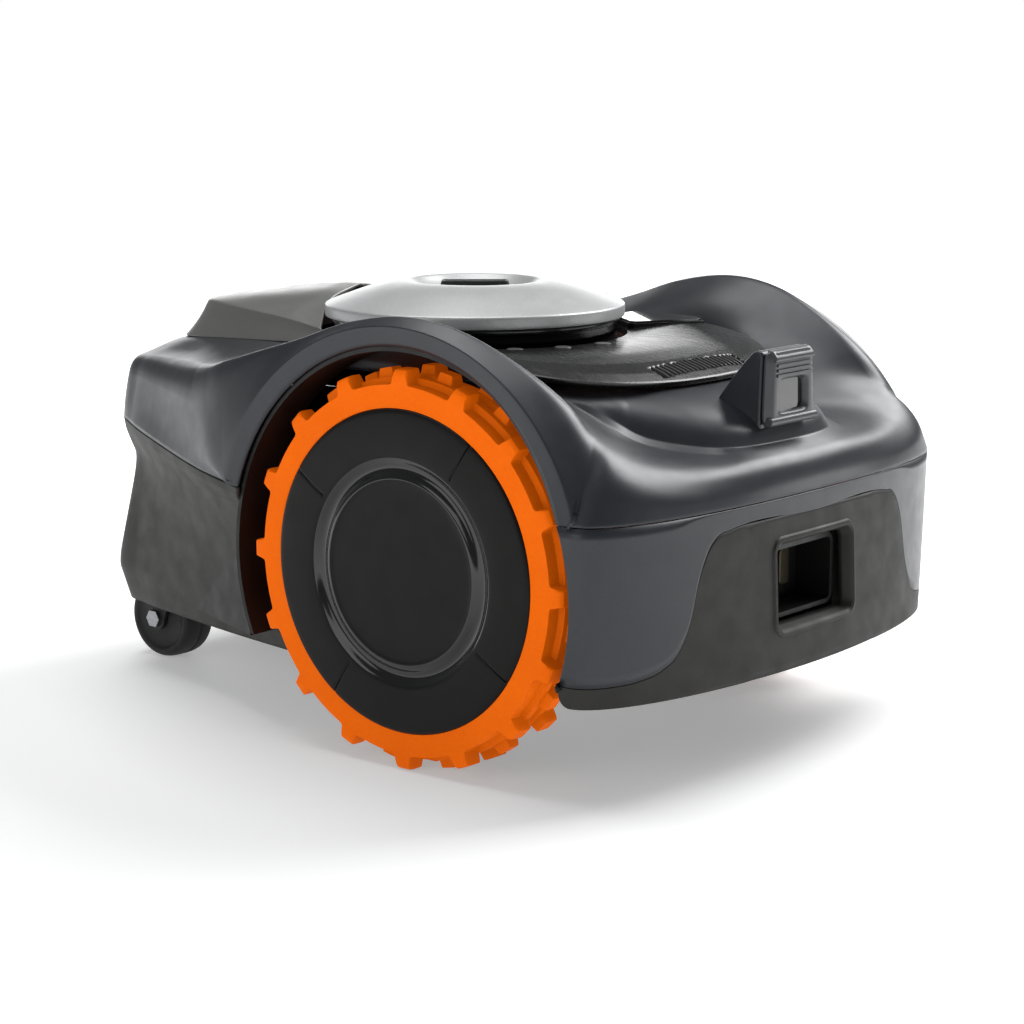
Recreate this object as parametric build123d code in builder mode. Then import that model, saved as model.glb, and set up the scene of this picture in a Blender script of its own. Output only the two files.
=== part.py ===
from build123d import *
import math
import os

os.makedirs("parts", exist_ok=True)

# A robotic lawn mower in millimetres. -Y is the front, +X the mower's left, +Z up,
# and the origin lies on the ground under the middle of the body.

# Body outline and height
overall_length = 545.0
overall_width = 386.0
overall_height = 285.0          # top of the height dial
wall = 3.0                      # moulded shells
shoulder_y = -224.0             # where the rounded front meets the straight side
waist_y = 50.0                  # behind the wheels, where the tail starts to narrow
waist_half = 184.0
tail_corner_y = 240.0
tail_half = 108.0
split_gap = 0.5                 # between two shells of one body
running_gap = 0.05              # radial, a shaft in its bore

# Upper shell: the deck along the middle and the crest over each wheel, as (y, z)
seam_z = 171.0
waist_seam_z = 165.0            # the seam dips behind the wheel
tail_seam_z = 183.0
deck_z = 246.0
deck_line = [(-268, seam_z + 3), (-261, 187), (-242, 213), (-213, 226), (-184, 233), (-120, deck_z)]
tail_line = [(95, deck_z), (170, 242), (225, 234), (256, 220), (270, tail_seam_z + 5)]
crest_line = [(-246, seam_z + 1), (-226, 213), (-185, 247), (-135, 272), (-86, 281), (-35, 274), (5, 261),
              (52, 246), (130, 228)]
fender_foot = 136.0             # inner foot of the fender, at deck height
fender_ridge_in = 162.0
fender_ridge_out = 176.0
fender_bevel_z = 262.0          # where the ridge's outer bevel meets the side

# Drive wheels
wheel_radius = 125.0            # over the lugs
wheel_y = -88.5
tyre_outer_x = 185.0
tyre_width = 40.0
tread_base_radius = 113.0
rim_radius = 100.0
lug_count = 16
lug_width = 13.0
axle_radius = 8.0
hub_disc_radius = 58.0

# Wheel arches
arch_radius = 140.5
arch_y = -83.0
arch_z = 122.0
liner_wall = 2.7
liner_inner_x = 150.0
liner_outer_x = 180.0
liner_bottom_z = 66.0

# Bumper
bumper_bottom_z = 63.0
bumper_travel = 5.0
insert_top_z = 158.0
insert_line = [(92, insert_top_z), (119, 125), (126, 92), (157, 78), (200, 75)]
guide_radius = 4.0
guide_x = 110.0
guide_z = 120.0
guide_length = 52.0

# Charging port
port_width = 84.0
port_height = 53.0
port_z = 115.5
port_corner = 7.0
socket_width = 68.0
socket_height = 40.0
socket_depth = 26.0
contact_pitch = 34.0
contact_width = 11.0
contact_height = 24.0
contact_depth = 3.0

# Chassis tub
tub_inset = 14.0
tub_half = 128.0                # between the drive wheels
tub_floor_z = 60.0
tub_top_z = 165.0
bay_end_y = 60.0
tail_floor_y = 180.0
tail_floor_z = 72.0
skirt_bottom_z = 50.0

# Cutting deck and its height adjustment
dial_y = 5.3
well_radius = 107.0
well_roof_z = 93.0
carriage_radius = 42.0
carriage_gap = 3.0
flange_radius = 70.0
flange_z = 118.0
flange_thickness = 8.0
rod_circle = 60.0
rod_radius = 4.0
rod_top_z = 214.0
lift_travel = 20.0              # up and down from mid height
nut_radius = 14.0
nut_top_z = 186.0
screw_radius = 6.0
screw_bottom_z = 150.0
shaft_hole_radius = 8.0         # in the deck, round the lift screw
blade_z = 39.0                  # underside of the blades, at mid height
blade_thickness = 1.0
disc_radius = 76.0
disc_thickness = 3.0
disc_z = 42.0
blade_circle = 62.0
blade_reach = 28.0
blade_width = 18.0
pivot_radius = 2.5
skid_radius = 56.0
skid_z = 33.0
skid_thickness = 2.5
spindle_radius = 5.0

# Height dial
dial_radius = 101.6
dial_rim_z = 269.2
dial_band = 7.8
dial_crown_radius = 52.0
dish_radius = 42.0
dish_depth = 13.0
grip_length = 48.0
grip_angle = -51.0              # at mid height, from +X towards +Y
grip_width = 17.0
drum_radius = 97.5
drum_bottom_z = 250.6

# Top panel, display and controls
panel_top_z = 250.0
panel_end_y = 60.0
panel_edge = [(0, -191), (60, -186), (112, -160), (128, -136), (132, -100), (132, panel_end_y)]
panel_low_z = 225.0
panel_profile = [(-195, panel_low_z), (-190, 235), (-184, 237.5), (-173, 246.5), (-150, panel_top_z)]
vent_half = 45.0
vent_slots = 20
vent_slope_start = (-183.5, 238.3)
vent_slope_end = (-173.5, 246.3)
display_z = 258.0
display_edge = [(62, -94), (122, -100), (132, -84), (131, -30), (112, -30)]
glass_thickness = 1.6
glass_inset = 1.5
dial_gap = 3.4
stop_x = 119.0
stop_y = -4.0
stop_radius = 13.0
stop_top_z = 268.0
stop_travel = 4.0
collar_height = 5.0
collar_wall = 3.0
key_radius = 5.5
key_gap = 0.4
key_spots = {"start_key": -96.0, "home_key": -112.0, "mow_key": -128.0}   # angle about the dial
key_circle = 118.0
key_proud = 1.6
key_sunk = 2.4

# Camera pod
pod_half = 27.0
pod_front_y = -244.5
pod_wall = 2.5
pod_profile = [(pod_front_y, 208), (pod_front_y, 253), (-241.5, 257.5), (-236.5, 256.5), (-228, 248),
               (-212, 226), (-212, 208)]
bezel_half = 27.5
bezel_depth = 6.0
bezel_bottom_z = 211.0
bezel_top_z = 259.0
window_width = 34.0
window_height = 20.0
window_z = 229.0
lens_radius = 6.5
lens_x = 6.0
lens_length = 4.0
camera_width = 30.0
camera_height = 15.0
camera_depth = 6.0
camera_rear_y = pod_front_y + pod_wall + 12.0

# Rear cover
hump_half = 80.0
hump_top_half = 62.0             # the sides lean in from hump_wall_z to hump_high_z
hump_wall_z = 240.0
hump_high_z = 290.0
hump_profile = [(60, 238), (60, 277), (118, 276.5), (168, 272), (214, 265), (228, 257), (238, 232),
                (238, 225)]

# Satellite antenna under the cover
antenna_y = 160.0
antenna_width = 64.0
antenna_length = 48.0
antenna_height = 14.0
antenna_disc_radius = 15.0
antenna_disc_height = 4.0

# Rear casters
caster_x = 62.0
caster_y = 242.5
caster_radius = 30.0
caster_width = 28.0
caster_trail = 15.0
stem_radius = 6.0
stem_top_z = 96.0
fork_top_z = 63.0
fork_plate = 4.0
fork_arm = 2.5
fork_side_gap = 1.0

# Power train and electronics
motor_radius = 24.0
motor_inner_x = 64.0
motor_outer_x = 125.0
nose_radius = 18.0
nose_end_x = 136.0
bearing_radius = 12.0
bearing_length = 8.0
battery_half = 88.0
battery_front_y = 122.0
battery_rear_y = 176.0
battery_bottom_z = 66.0
battery_top_z = 150.0
cover_half = 98.0
cover_front_y = 116.0
cover_thickness = 4.0
cover_screw_x = 92.0
screw_head_radius = 3.6
screw_head_height = 2.2
screw_length = 8.0
cover_screw_inset = 7.0
board_half = 70.0
board_front_y = -232.0
board_rear_y = -142.0
board_z = 158.0
board_thickness = 1.6
standoff_radius = 4.0
standoff_inset = 6.0
board_chips = [(-30, -190), (28, -205)]
chip_size = 22.0
board_plugs = [(-44, -156), (0, -156), (44, -156)]
plug_length = 26.0
plug_width = 9.0
board_part_height = 6.0

sides = {"left": 1, "right": -1}


def store(piece, name):
    """Label a finished sub-part and write it to its own file."""
    piece.part.label = name
    export_step(piece.part, f"parts/{name}.step")


def plan_outline(inset):
    """The body seen from above, pulled in by inset all round."""
    nose_y = -overall_length / 2 + inset
    tail_y = overall_length / 2 - inset
    half = overall_width / 2 - inset
    bulge = 0.735               # how full the rounded front corner is
    with BuildSketch(mode=Mode.PRIVATE) as outline:
        with BuildLine():
            corner = (bulge * half, shoulder_y + bulge * (nose_y - shoulder_y))
            front = Spline((0, nose_y), corner, (half, shoulder_y), tangents=((1, 0), (0, 1)))
            side = Line(front @ 1, (waist_half - inset, waist_y))
            flank = Line(side @ 1, (tail_half - inset, tail_corner_y))
            Spline(flank @ 1, (0, tail_y), tangents=(flank % 1, (-1, 0)))
            mirror(about=Plane.YZ)
        make_face()
    return outline.sketch


def plan_solid(inset, low, high):
    """The outline pulled in by inset and extruded from low to high."""
    with BuildPart(mode=Mode.PRIVATE) as column:
        with BuildSketch(Plane.XY.offset(low)):
            add(plan_outline(inset))
        extrude(amount=high - low)
    return column.part


def fender_solids(inset):
    """Both fenders: the crest line carried across the wheel, cut to a bevelled ridge."""
    lift = overall_height
    with BuildPart(mode=Mode.PRIVATE) as fenders:
        with BuildSketch(Plane.YZ):
            with BuildLine():
                crest = Spline(*[(y, z - inset) for y, z in crest_line])
                Polyline(crest @ 1, (crest_line[-1][0], 0), (crest_line[0][0], 0), crest @ 0)
            make_face()
        extrude(amount=overall_width / 2)
        with BuildSketch(Plane.XZ):
            with BuildLine():
                Polyline((fender_foot + inset, 0), (fender_foot + inset, deck_z - inset),
                         (fender_ridge_in + inset, lift), (fender_ridge_out - inset, lift),
                         (overall_width / 2 - inset, fender_bevel_z - inset),
                         (overall_width / 2 - inset, 0), close=True)
            make_face()
        extrude(amount=overall_length, both=True, mode=Mode.INTERSECT)
        mirror(about=Plane.YZ)
    return fenders.part


def hull(inset, below=0.0):
    """All that the upper shell encloses, pulled in by inset, with its floor lowered by below."""
    floor_line = [(tail_line[-1][0], tail_seam_z - below), (waist_y, waist_seam_z - below),
                  (0, seam_z - below), (deck_line[0][0], seam_z - below)]
    with BuildPart(mode=Mode.PRIVATE) as body:
        with BuildSketch(Plane.YZ):
            with BuildLine():
                front = Spline(*[(y, z - inset) for y, z in deck_line], tangents=((0.3, 1), (1, 0)),
                               tangent_scalars=(0.6, 0.6))
                Line(front @ 1, (tail_line[0][0], deck_z - inset))
                tail = Spline(*[(y, z - inset) for y, z in tail_line])
                Polyline(tail @ 1, *floor_line, front @ 0)
            make_face()
        extrude(amount=overall_width / 2, both=True)
        add(fender_solids(inset))
        add(plan_solid(inset, 0, overall_height + 10), mode=Mode.INTERSECT)
        with BuildSketch(Plane.YZ):                                 # the fenders stop at the same floor
            with BuildLine():
                Polyline((overall_length, 0), (overall_length, floor_line[0][1]), *floor_line,
                         (-overall_length, floor_line[-1][1]), (-overall_length, 0), close=True)
            make_face()
        extrude(amount=overall_width, both=True, mode=Mode.SUBTRACT)
    return body.part


def arch_solid(radius, inner_x, outer_x):
    """Both wheel arches as solid discs of this radius, from inner_x to outer_x."""
    with BuildPart(mode=Mode.PRIVATE) as arches:
        with BuildSketch(Plane.YZ.offset(inner_x)):
            with Locations((arch_y, arch_z)):
                Circle(radius)
        extrude(amount=outer_x - inner_x)
        mirror(about=Plane.YZ)
    return arches.part


def slab(low, high):
    """A block between two corners."""
    middle = [(a + b) / 2 for a, b in zip(low, high)]
    size = [b - a for a, b in zip(low, high)]
    return Pos(*middle) * Box(*size, mode=Mode.PRIVATE)


hull_outer = hull(0.0)
arch_opening = arch_solid(arch_radius, liner_inner_x, overall_width)
beyond = overall_length


# ---- Upper shell -------------------------------------------------------------------------------

with BuildPart() as upper_shell:
    add(hull_outer)
    add(hull(wall, below=2 * wall), mode=Mode.SUBTRACT)
    add(arch_opening, mode=Mode.SUBTRACT)
    with BuildSketch(Plane.XY.offset(deck_z - 2 * wall)):
        with Locations((0, dial_y)):
            Circle(shaft_hole_radius)
    extrude(amount=4 * wall, mode=Mode.SUBTRACT)
store(upper_shell, "upper_shell")


# ---- Rear skirt --------------------------------------------------------------------------------

with BuildPart() as rear_skirt:
    add(plan_solid(0, skirt_bottom_z, tail_seam_z))
    add(plan_solid(wall, skirt_bottom_z - 1, tail_seam_z + 1), mode=Mode.SUBTRACT)
    with BuildSketch(Plane.YZ):
        with BuildLine():
            Polyline((0, skirt_bottom_z), (beyond, skirt_bottom_z), (beyond, tail_seam_z - split_gap),
                     (tail_line[-1][0], tail_seam_z - split_gap), (waist_y, waist_seam_z - split_gap),
                     (0, seam_z - split_gap), close=True)
        make_face()
    extrude(amount=overall_width, both=True, mode=Mode.INTERSECT)
    add(arch_opening, mode=Mode.SUBTRACT)
    add(slab((-overall_width, -beyond, 0), (overall_width, arch_y, overall_height)), mode=Mode.SUBTRACT)
store(rear_skirt, "rear_skirt")


# ---- Wheel arch liners: a thin black ring inside each arch --------------------------------------

with BuildPart() as arch_liners:
    add(arch_solid(arch_radius - 0.2, liner_inner_x, liner_outer_x))
    add(arch_solid(arch_radius - 0.2 - liner_wall, 0, overall_width), mode=Mode.SUBTRACT)
    below_liner = slab((-overall_width, -beyond, -beyond), (overall_width, beyond, liner_bottom_z))
    add(below_liner, mode=Mode.SUBTRACT)
    add(hull_outer - hull(wall, below=2 * wall), mode=Mode.SUBTRACT)
    add(rear_skirt.part, mode=Mode.SUBTRACT)
store(arch_liners, "arch_liners")


# ---- Bumper: a grey band above a dark insert, on two steel guides --------------------------------

bumper_end_y = arch_y - arch_radius / 2         # nothing of the bumper lies behind this


def bumper_ring():
    """The whole bumper wall, before it is split into band and insert."""
    with BuildPart(mode=Mode.PRIVATE) as ring:
        add(plan_solid(0, bumper_bottom_z, seam_z - split_gap))
        add(plan_solid(wall, 0, overall_height), mode=Mode.SUBTRACT)
        add(arch_opening, mode=Mode.SUBTRACT)
        behind = slab((-overall_width, bumper_end_y, 0), (overall_width, beyond, overall_height))
        add(behind, mode=Mode.SUBTRACT)
    return ring.part


def insert_region():
    """The dark insert's outline from the front, carried through the bumper."""
    with BuildPart(mode=Mode.PRIVATE) as region:
        with BuildSketch(Plane.XZ):
            with BuildLine():
                top = Line((0, insert_top_z), insert_line[0])
                sweep_down = Spline(*insert_line, tangents=((1, 0), (1, 0)), tangent_scalars=(0.5, 0.5))
                Polyline(sweep_down @ 1, (overall_width, insert_line[-1][1]), (overall_width, 0), (0, 0),
                         top @ 0)
            make_face()
            mirror(about=Plane.YZ)
        extrude(amount=overall_length)
    return region.part


with BuildPart() as bumper_band:
    add(bumper_ring())
    add(insert_region(), mode=Mode.SUBTRACT)
store(bumper_band, "bumper_band")

port_plane = Plane.XZ.offset(overall_length / 2)
funnel_margin = 1.0              # left between the pressed bumper's funnel and the socket
funnel_depth = tub_inset - bumper_travel - funnel_margin
funnel_wall = 3.0

with BuildPart() as bumper_insert:
    add(bumper_ring())
    add(insert_region(), mode=Mode.INTERSECT)
    with BuildSketch(port_plane.offset(-funnel_depth)):
        with Locations((0, port_z)):
            RectangleRounded(port_width + 2 * funnel_wall, port_height + 2 * funnel_wall,
                             port_corner + funnel_wall)
    extrude(amount=funnel_depth - 2)
    with BuildSketch(port_plane.offset(1)):
        with Locations((0, port_z)):
            RectangleRounded(port_width, port_height, port_corner)
    extrude(amount=-funnel_depth - 4, taper=12, mode=Mode.SUBTRACT)
store(bumper_insert, "bumper_insert")

# Each guide's front end stops against the inside of the bumper wall.
with BuildPart() as guide_stock:
    for hand in sides.values():
        with BuildSketch(Plane.XZ.offset(overall_length / 2)):
            with Locations((hand * guide_x, guide_z)):
                Circle(guide_radius)
        extrude(amount=-guide_length - wall)
    add(plan_solid(wall, 0, overall_height), mode=Mode.INTERSECT)
store(guide_stock, "bumper_guides")


# ---- Chassis tub --------------------------------------------------------------------------------


def tub_outline(inset, low, high):
    """The tub's plan, with the two wheel bays taken out."""
    with BuildPart(mode=Mode.PRIVATE) as block:
        add(plan_solid(tub_inset + inset, low, high))
        for hand in sides.values():
            near = hand * (tub_half - inset)
            far = hand * overall_width
            low_x, high_x = sorted((near, far))
            add(slab((low_x, -beyond, 0), (high_x, bay_end_y + inset, overall_height)), mode=Mode.SUBTRACT)
    return block.part


stem_y = caster_y - caster_trail
board_posts = [(x, y) for x in (-board_half + standoff_inset, board_half - standoff_inset)
               for y in (board_front_y + standoff_inset, board_rear_y - standoff_inset)]
cover_rear_y = tail_floor_y
cover_screws_at = [(x, y) for x in (-cover_screw_x, cover_screw_x)
                   for y in (cover_front_y + cover_screw_inset, cover_rear_y - cover_screw_inset)]
caster_boss_radius = 12.0
guide_boss_radius = 8.0
guide_boss_front_y = -overall_length / 2 + 21.0     # inside the tub's rounded front wall
guide_boss_rear_y = guide_boss_front_y + 29.5
cover_hole = 1.7
hatch_margin = 4.0              # battery opening beyond the battery, each side
hatch_front_margin = 2.5

with BuildPart() as chassis_tub:
    add(tub_outline(0, tub_floor_z, tub_top_z))
    add(slab((-overall_width, tail_floor_y, 0), (overall_width, beyond, tail_floor_z)), mode=Mode.SUBTRACT)
    inside = tub_outline(wall, tub_floor_z + wall, tub_top_z + 1)
    inside -= slab((-overall_width, tail_floor_y - wall, 0), (overall_width, beyond, tail_floor_z + wall))
    add(inside, mode=Mode.SUBTRACT)
    with BuildSketch(Plane.XY.offset(tub_floor_z)):                 # cutting well
        with Locations((0, dial_y)):
            Circle(well_radius + wall)
    extrude(amount=well_roof_z + wall - tub_floor_z)
    with BuildSketch(Plane.XY.offset(tub_floor_z)):
        with Locations((0, dial_y)):
            Circle(well_radius)
    extrude(amount=well_roof_z - tub_floor_z, mode=Mode.SUBTRACT)
    with BuildSketch(Plane.XY.offset(well_roof_z)):
        with Locations((0, dial_y)):
            Circle(carriage_radius + carriage_gap)
    extrude(amount=wall, mode=Mode.SUBTRACT)
    with BuildSketch(Plane.XY.offset(tub_floor_z)):                 # board standoffs
        with Locations(*board_posts):
            Circle(standoff_radius)
    extrude(amount=board_z - tub_floor_z)
    with BuildSketch(Plane.XY.offset(tail_floor_z)):                # caster sockets
        with Locations((caster_x, stem_y), (-caster_x, stem_y)):
            Circle(caster_boss_radius)
    extrude(amount=stem_top_z + wall - tail_floor_z)
    with BuildSketch(Plane.XY.offset(tail_floor_z)):
        with Locations((caster_x, stem_y), (-caster_x, stem_y)):
            Circle(stem_radius + running_gap)
    extrude(amount=stem_top_z + wall - tail_floor_z, mode=Mode.SUBTRACT)
    for hand in sides.values():                                     # bumper guide bosses
        with BuildSketch(Plane.XZ.offset(-guide_boss_rear_y)):
            with Locations((hand * guide_x, guide_z)):
                Circle(guide_boss_radius)
        extrude(amount=guide_boss_rear_y - guide_boss_front_y)
    with BuildSketch(Plane.XZ.offset(-guide_boss_rear_y - 10)):
        with Locations((guide_x, guide_z), (-guide_x, guide_z)):
            Circle(guide_radius + running_gap)
    extrude(amount=overall_length, mode=Mode.SUBTRACT)
    with BuildSketch(Plane.XZ.offset(-guide_boss_rear_y - 40)):
        with Locations((guide_x, guide_z), (-guide_x, guide_z)):
            Circle(guide_radius + running_gap)
    extrude(amount=60, mode=Mode.SUBTRACT)
    with BuildSketch(Plane.XZ.offset(-shoulder_y)):                 # window for the charging socket
        with Locations((0, port_z)):
            Rectangle(socket_width + 4 * wall, socket_height + 4 * wall)
    extrude(amount=overall_length, mode=Mode.SUBTRACT)
    with BuildSketch(Plane.YZ):                                     # gearbox noses
        with Locations((wheel_y, wheel_radius)):
            Circle(nose_radius + split_gap)
    extrude(amount=overall_width, both=True, mode=Mode.SUBTRACT)
    hatch_half = battery_half + hatch_margin
    battery_hatch = slab((-hatch_half, battery_front_y - hatch_front_margin, 0),
                         (hatch_half, battery_rear_y + split_gap, tub_floor_z + wall))
    add(battery_hatch, mode=Mode.SUBTRACT)
    with BuildSketch(Plane.XY.offset(tub_floor_z)):
        with Locations(*cover_screws_at):
            Circle(cover_hole)
    extrude(amount=wall, mode=Mode.SUBTRACT)
store(chassis_tub, "chassis_tub")


# ---- Battery, its cover and screws ---------------------------------------------------------------

with BuildPart() as battery_pack:
    with BuildSketch(Plane.XY.offset(battery_bottom_z)):
        with Locations((0, (battery_front_y + battery_rear_y) / 2)):
            RectangleRounded(2 * battery_half, battery_rear_y - battery_front_y, 6)
    extrude(amount=battery_top_z - battery_bottom_z)
    chamfer(battery_pack.faces().sort_by(Axis.Z)[-1].edges(), length=2)
store(battery_pack, "battery_pack")

with BuildPart() as battery_cover:
    with BuildSketch(Plane.XY.offset(tub_floor_z - cover_thickness)):
        with Locations((0, (cover_front_y + cover_rear_y) / 2)):
            RectangleRounded(2 * cover_half, cover_rear_y - cover_front_y, 5)
    extrude(amount=cover_thickness)
    with BuildSketch(Plane.XY.offset(tub_floor_z)):                 # raised tray under the battery
        with Locations((0, (battery_front_y + battery_rear_y) / 2)):
            RectangleRounded(2 * battery_half, battery_rear_y - battery_front_y, 6)
    extrude(amount=battery_bottom_z - tub_floor_z)
    with BuildSketch(Plane.XY.offset(tub_floor_z - cover_thickness)):
        with Locations(*cover_screws_at):
            Circle(cover_hole)
    extrude(amount=cover_thickness, mode=Mode.SUBTRACT)
    with BuildSketch(Plane.XY.offset(tub_floor_z - cover_thickness)):   # counterbores for the heads
        with Locations(*cover_screws_at):
            Circle(screw_head_radius + running_gap)
    extrude(amount=screw_head_height + 0.2, mode=Mode.SUBTRACT)
store(battery_cover, "battery_cover")

screw_head_z = tub_floor_z - cover_thickness + 0.2

with BuildPart() as cover_screws:
    with BuildSketch(Plane.XY.offset(screw_head_z)):
        with Locations(*cover_screws_at):
            Circle(screw_head_radius)
    extrude(amount=screw_head_height)
    with BuildSketch(Plane.XY.offset(screw_head_z + screw_head_height)):
        with Locations(*cover_screws_at):
            Circle(cover_hole - running_gap)
    extrude(amount=screw_length)
store(cover_screws, "cover_screws")


# ---- Control board on its standoffs --------------------------------------------------------------

with BuildPart() as control_board:
    with BuildSketch(Plane.XY.offset(board_z)):
        with Locations((0, (board_front_y + board_rear_y) / 2)):
            RectangleRounded(2 * board_half, board_rear_y - board_front_y, 3)
    extrude(amount=board_thickness)
    with BuildSketch(Plane.XY.offset(board_z + board_thickness)):   # chips and connectors
        with Locations(*board_chips):
            Rectangle(chip_size, chip_size)
        with Locations(*board_plugs):
            Rectangle(plug_length, plug_width)
    extrude(amount=board_part_height)
store(control_board, "control_board")


# ---- Charging socket and its contacts ------------------------------------------------------------

socket_front_y = -overall_length / 2 + tub_inset
socket_plane = Plane.XZ.offset(-socket_front_y)

with BuildPart() as charge_socket:
    with BuildSketch(socket_plane):
        with Locations((0, port_z)):
            RectangleRounded(socket_width + 2 * wall, socket_height + 2 * wall, port_corner)
    extrude(amount=-socket_depth - wall)
    with BuildSketch(socket_plane):
        with Locations((0, port_z)):
            RectangleRounded(socket_width, socket_height, port_corner - wall)
    extrude(amount=-socket_depth, mode=Mode.SUBTRACT)
    with BuildSketch(socket_plane.offset(-socket_depth - wall)):    # flange behind the tub wall
        with Locations((0, port_z)):
            RectangleRounded(socket_width + 6 * wall, socket_height + 6 * wall, port_corner)
    extrude(amount=wall)
store(charge_socket, "charge_socket")

with BuildPart() as charge_contacts:
    with BuildSketch(socket_plane.offset(-socket_depth)):
        with Locations((-contact_pitch / 2, port_z), (contact_pitch / 2, port_z)):
            RectangleRounded(contact_width, contact_height, 3)
    extrude(amount=contact_depth)
    fillet(charge_contacts.edges().filter_by(GeomType.LINE).group_by(Axis.Y)[0], radius=1)
store(charge_contacts, "charge_contacts")


# ---- Drive motors, bearings and wheels -----------------------------------------------------------

shaft_clearance = 1.0
axle_inner_x = 106.0
rim_inner_x = 150.0
rim_web_x = 172.0
hub_cover_x = 178.0
rim_wall = 4.0
hub_dish_depth = 2.5

with BuildPart() as axle_bearings:
    with BuildSketch(Plane.YZ.offset(nose_end_x - bearing_length)):
        with Locations((wheel_y, wheel_radius)):
            Circle(bearing_radius)
            Circle(axle_radius + running_gap, mode=Mode.SUBTRACT)
    extrude(amount=bearing_length)
    mirror(about=Plane.YZ)
store(axle_bearings, "axle_bearings")

for side, hand in sides.items():
    with BuildPart() as drive_motor:
        with BuildSketch(Plane.YZ.offset(motor_inner_x)):
            with Locations((wheel_y, wheel_radius)):
                Circle(motor_radius)
        extrude(amount=motor_outer_x - motor_inner_x)
        with BuildSketch(Plane.YZ.offset(motor_outer_x)):
            with Locations((wheel_y, wheel_radius)):
                Circle(nose_radius)
        extrude(amount=nose_end_x - motor_outer_x)
        with BuildSketch(Plane.YZ.offset(nose_end_x - bearing_length)):
            with Locations((wheel_y, wheel_radius)):
                Circle(bearing_radius)
        extrude(amount=bearing_length, mode=Mode.SUBTRACT)
        with BuildSketch(Plane.YZ.offset(axle_inner_x - 2)):
            with Locations((wheel_y, wheel_radius)):
                Circle(axle_radius + shaft_clearance)
        extrude(amount=nose_end_x, mode=Mode.SUBTRACT)
        if hand < 0:
            mirror(about=Plane.YZ, mode=Mode.REPLACE)
    store(drive_motor, f"{side}_drive_motor")

    with BuildPart() as axle:
        with BuildSketch(Plane.YZ.offset(axle_inner_x)):
            with Locations((wheel_y, wheel_radius)):
                Circle(axle_radius)
        extrude(amount=rim_web_x - axle_inner_x)
        chamfer(axle.faces().sort_by(Axis.X)[0].edges(), length=1)
        if hand < 0:
            mirror(about=Plane.YZ, mode=Mode.REPLACE)
    store(axle, f"{side}_axle")

    with BuildPart() as rim:
        with BuildSketch(Plane.YZ.offset(rim_inner_x)):
            with Locations((wheel_y, wheel_radius)):
                Circle(rim_radius)
                Circle(rim_radius - rim_wall, mode=Mode.SUBTRACT)
        extrude(amount=hub_cover_x - rim_inner_x)
        with BuildSketch(Plane.YZ.offset(rim_web_x - rim_wall)):    # web
            with Locations((wheel_y, wheel_radius)):
                Circle(rim_radius - rim_wall)
        extrude(amount=rim_wall)
        with BuildSketch(Plane.YZ.offset(rim_inner_x)):             # boss
            with Locations((wheel_y, wheel_radius)):
                Circle(2 * axle_radius)
        extrude(amount=rim_web_x - rim_inner_x)
        with BuildSketch(Plane.YZ.offset(rim_inner_x)):
            with Locations((wheel_y, wheel_radius)):
                Circle(axle_radius)
        extrude(amount=rim_web_x - rim_inner_x, mode=Mode.SUBTRACT)
        if hand < 0:
            mirror(about=Plane.YZ, mode=Mode.REPLACE)
    store(rim, f"{side}_rim")

    with BuildPart() as hub_cover:
        with BuildSketch(Plane.YZ.offset(hub_cover_x)):
            with Locations((wheel_y, wheel_radius)):
                Circle(rim_radius)
        extrude(amount=tyre_outer_x - hub_cover_x)
        fillet(hub_cover.faces().sort_by(Axis.X)[-1].edges(), radius=1.5)
        with BuildSketch(Plane.YZ.offset(tyre_outer_x)):            # shallow dished middle
            with Locations((wheel_y, wheel_radius)):
                Circle(hub_disc_radius)
        extrude(amount=-hub_dish_depth, mode=Mode.SUBTRACT)
        if hand < 0:
            mirror(about=Plane.YZ, mode=Mode.REPLACE)
    store(hub_cover, f"{side}_hub_cover")

    pitch = 360 / lug_count
    lug_root_radius = rim_radius + rim_wall
    lug_middle_radius = (wheel_radius + lug_root_radius) / 2
    lug_rows = ((tyre_outer_x - tyre_width / 3, tyre_outer_x, 0.0),
                (tyre_outer_x - tyre_width * 2 / 3 - 1, tyre_outer_x - tyre_width / 3, 0.5),
                (tyre_outer_x - tyre_width, tyre_outer_x - tyre_width * 2 / 3 - 1, 0.0))
    with BuildPart() as tyre:
        with BuildSketch(Plane.YZ.offset(tyre_outer_x - tyre_width)):
            with Locations((wheel_y, wheel_radius)):
                Circle(tread_base_radius)
                Circle(rim_radius, mode=Mode.SUBTRACT)
        extrude(amount=tyre_width)
        for inner_x, outer_x, phase in lug_rows:
            with BuildSketch(Plane.YZ.offset(inner_x)):
                with Locations((wheel_y, wheel_radius)):
                    with PolarLocations(lug_middle_radius, lug_count, start_angle=phase * pitch):
                        Rectangle(wheel_radius - lug_root_radius, lug_width)
            extrude(amount=outer_x - inner_x)
        if hand < 0:
            mirror(about=Plane.YZ, mode=Mode.REPLACE)
    store(tyre, f"{side}_tyre")


# ---- Rear casters --------------------------------------------------------------------------------

caster_axle_radius = 4.0
fork_half = caster_width / 2 + fork_side_gap
arm_half_y = 9.0
plate_front_y = stem_y - 8.0
plate_rear_y = caster_y + arm_half_y
axle_nut_radius = 6.5
axle_nut_height = 3.0

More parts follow.
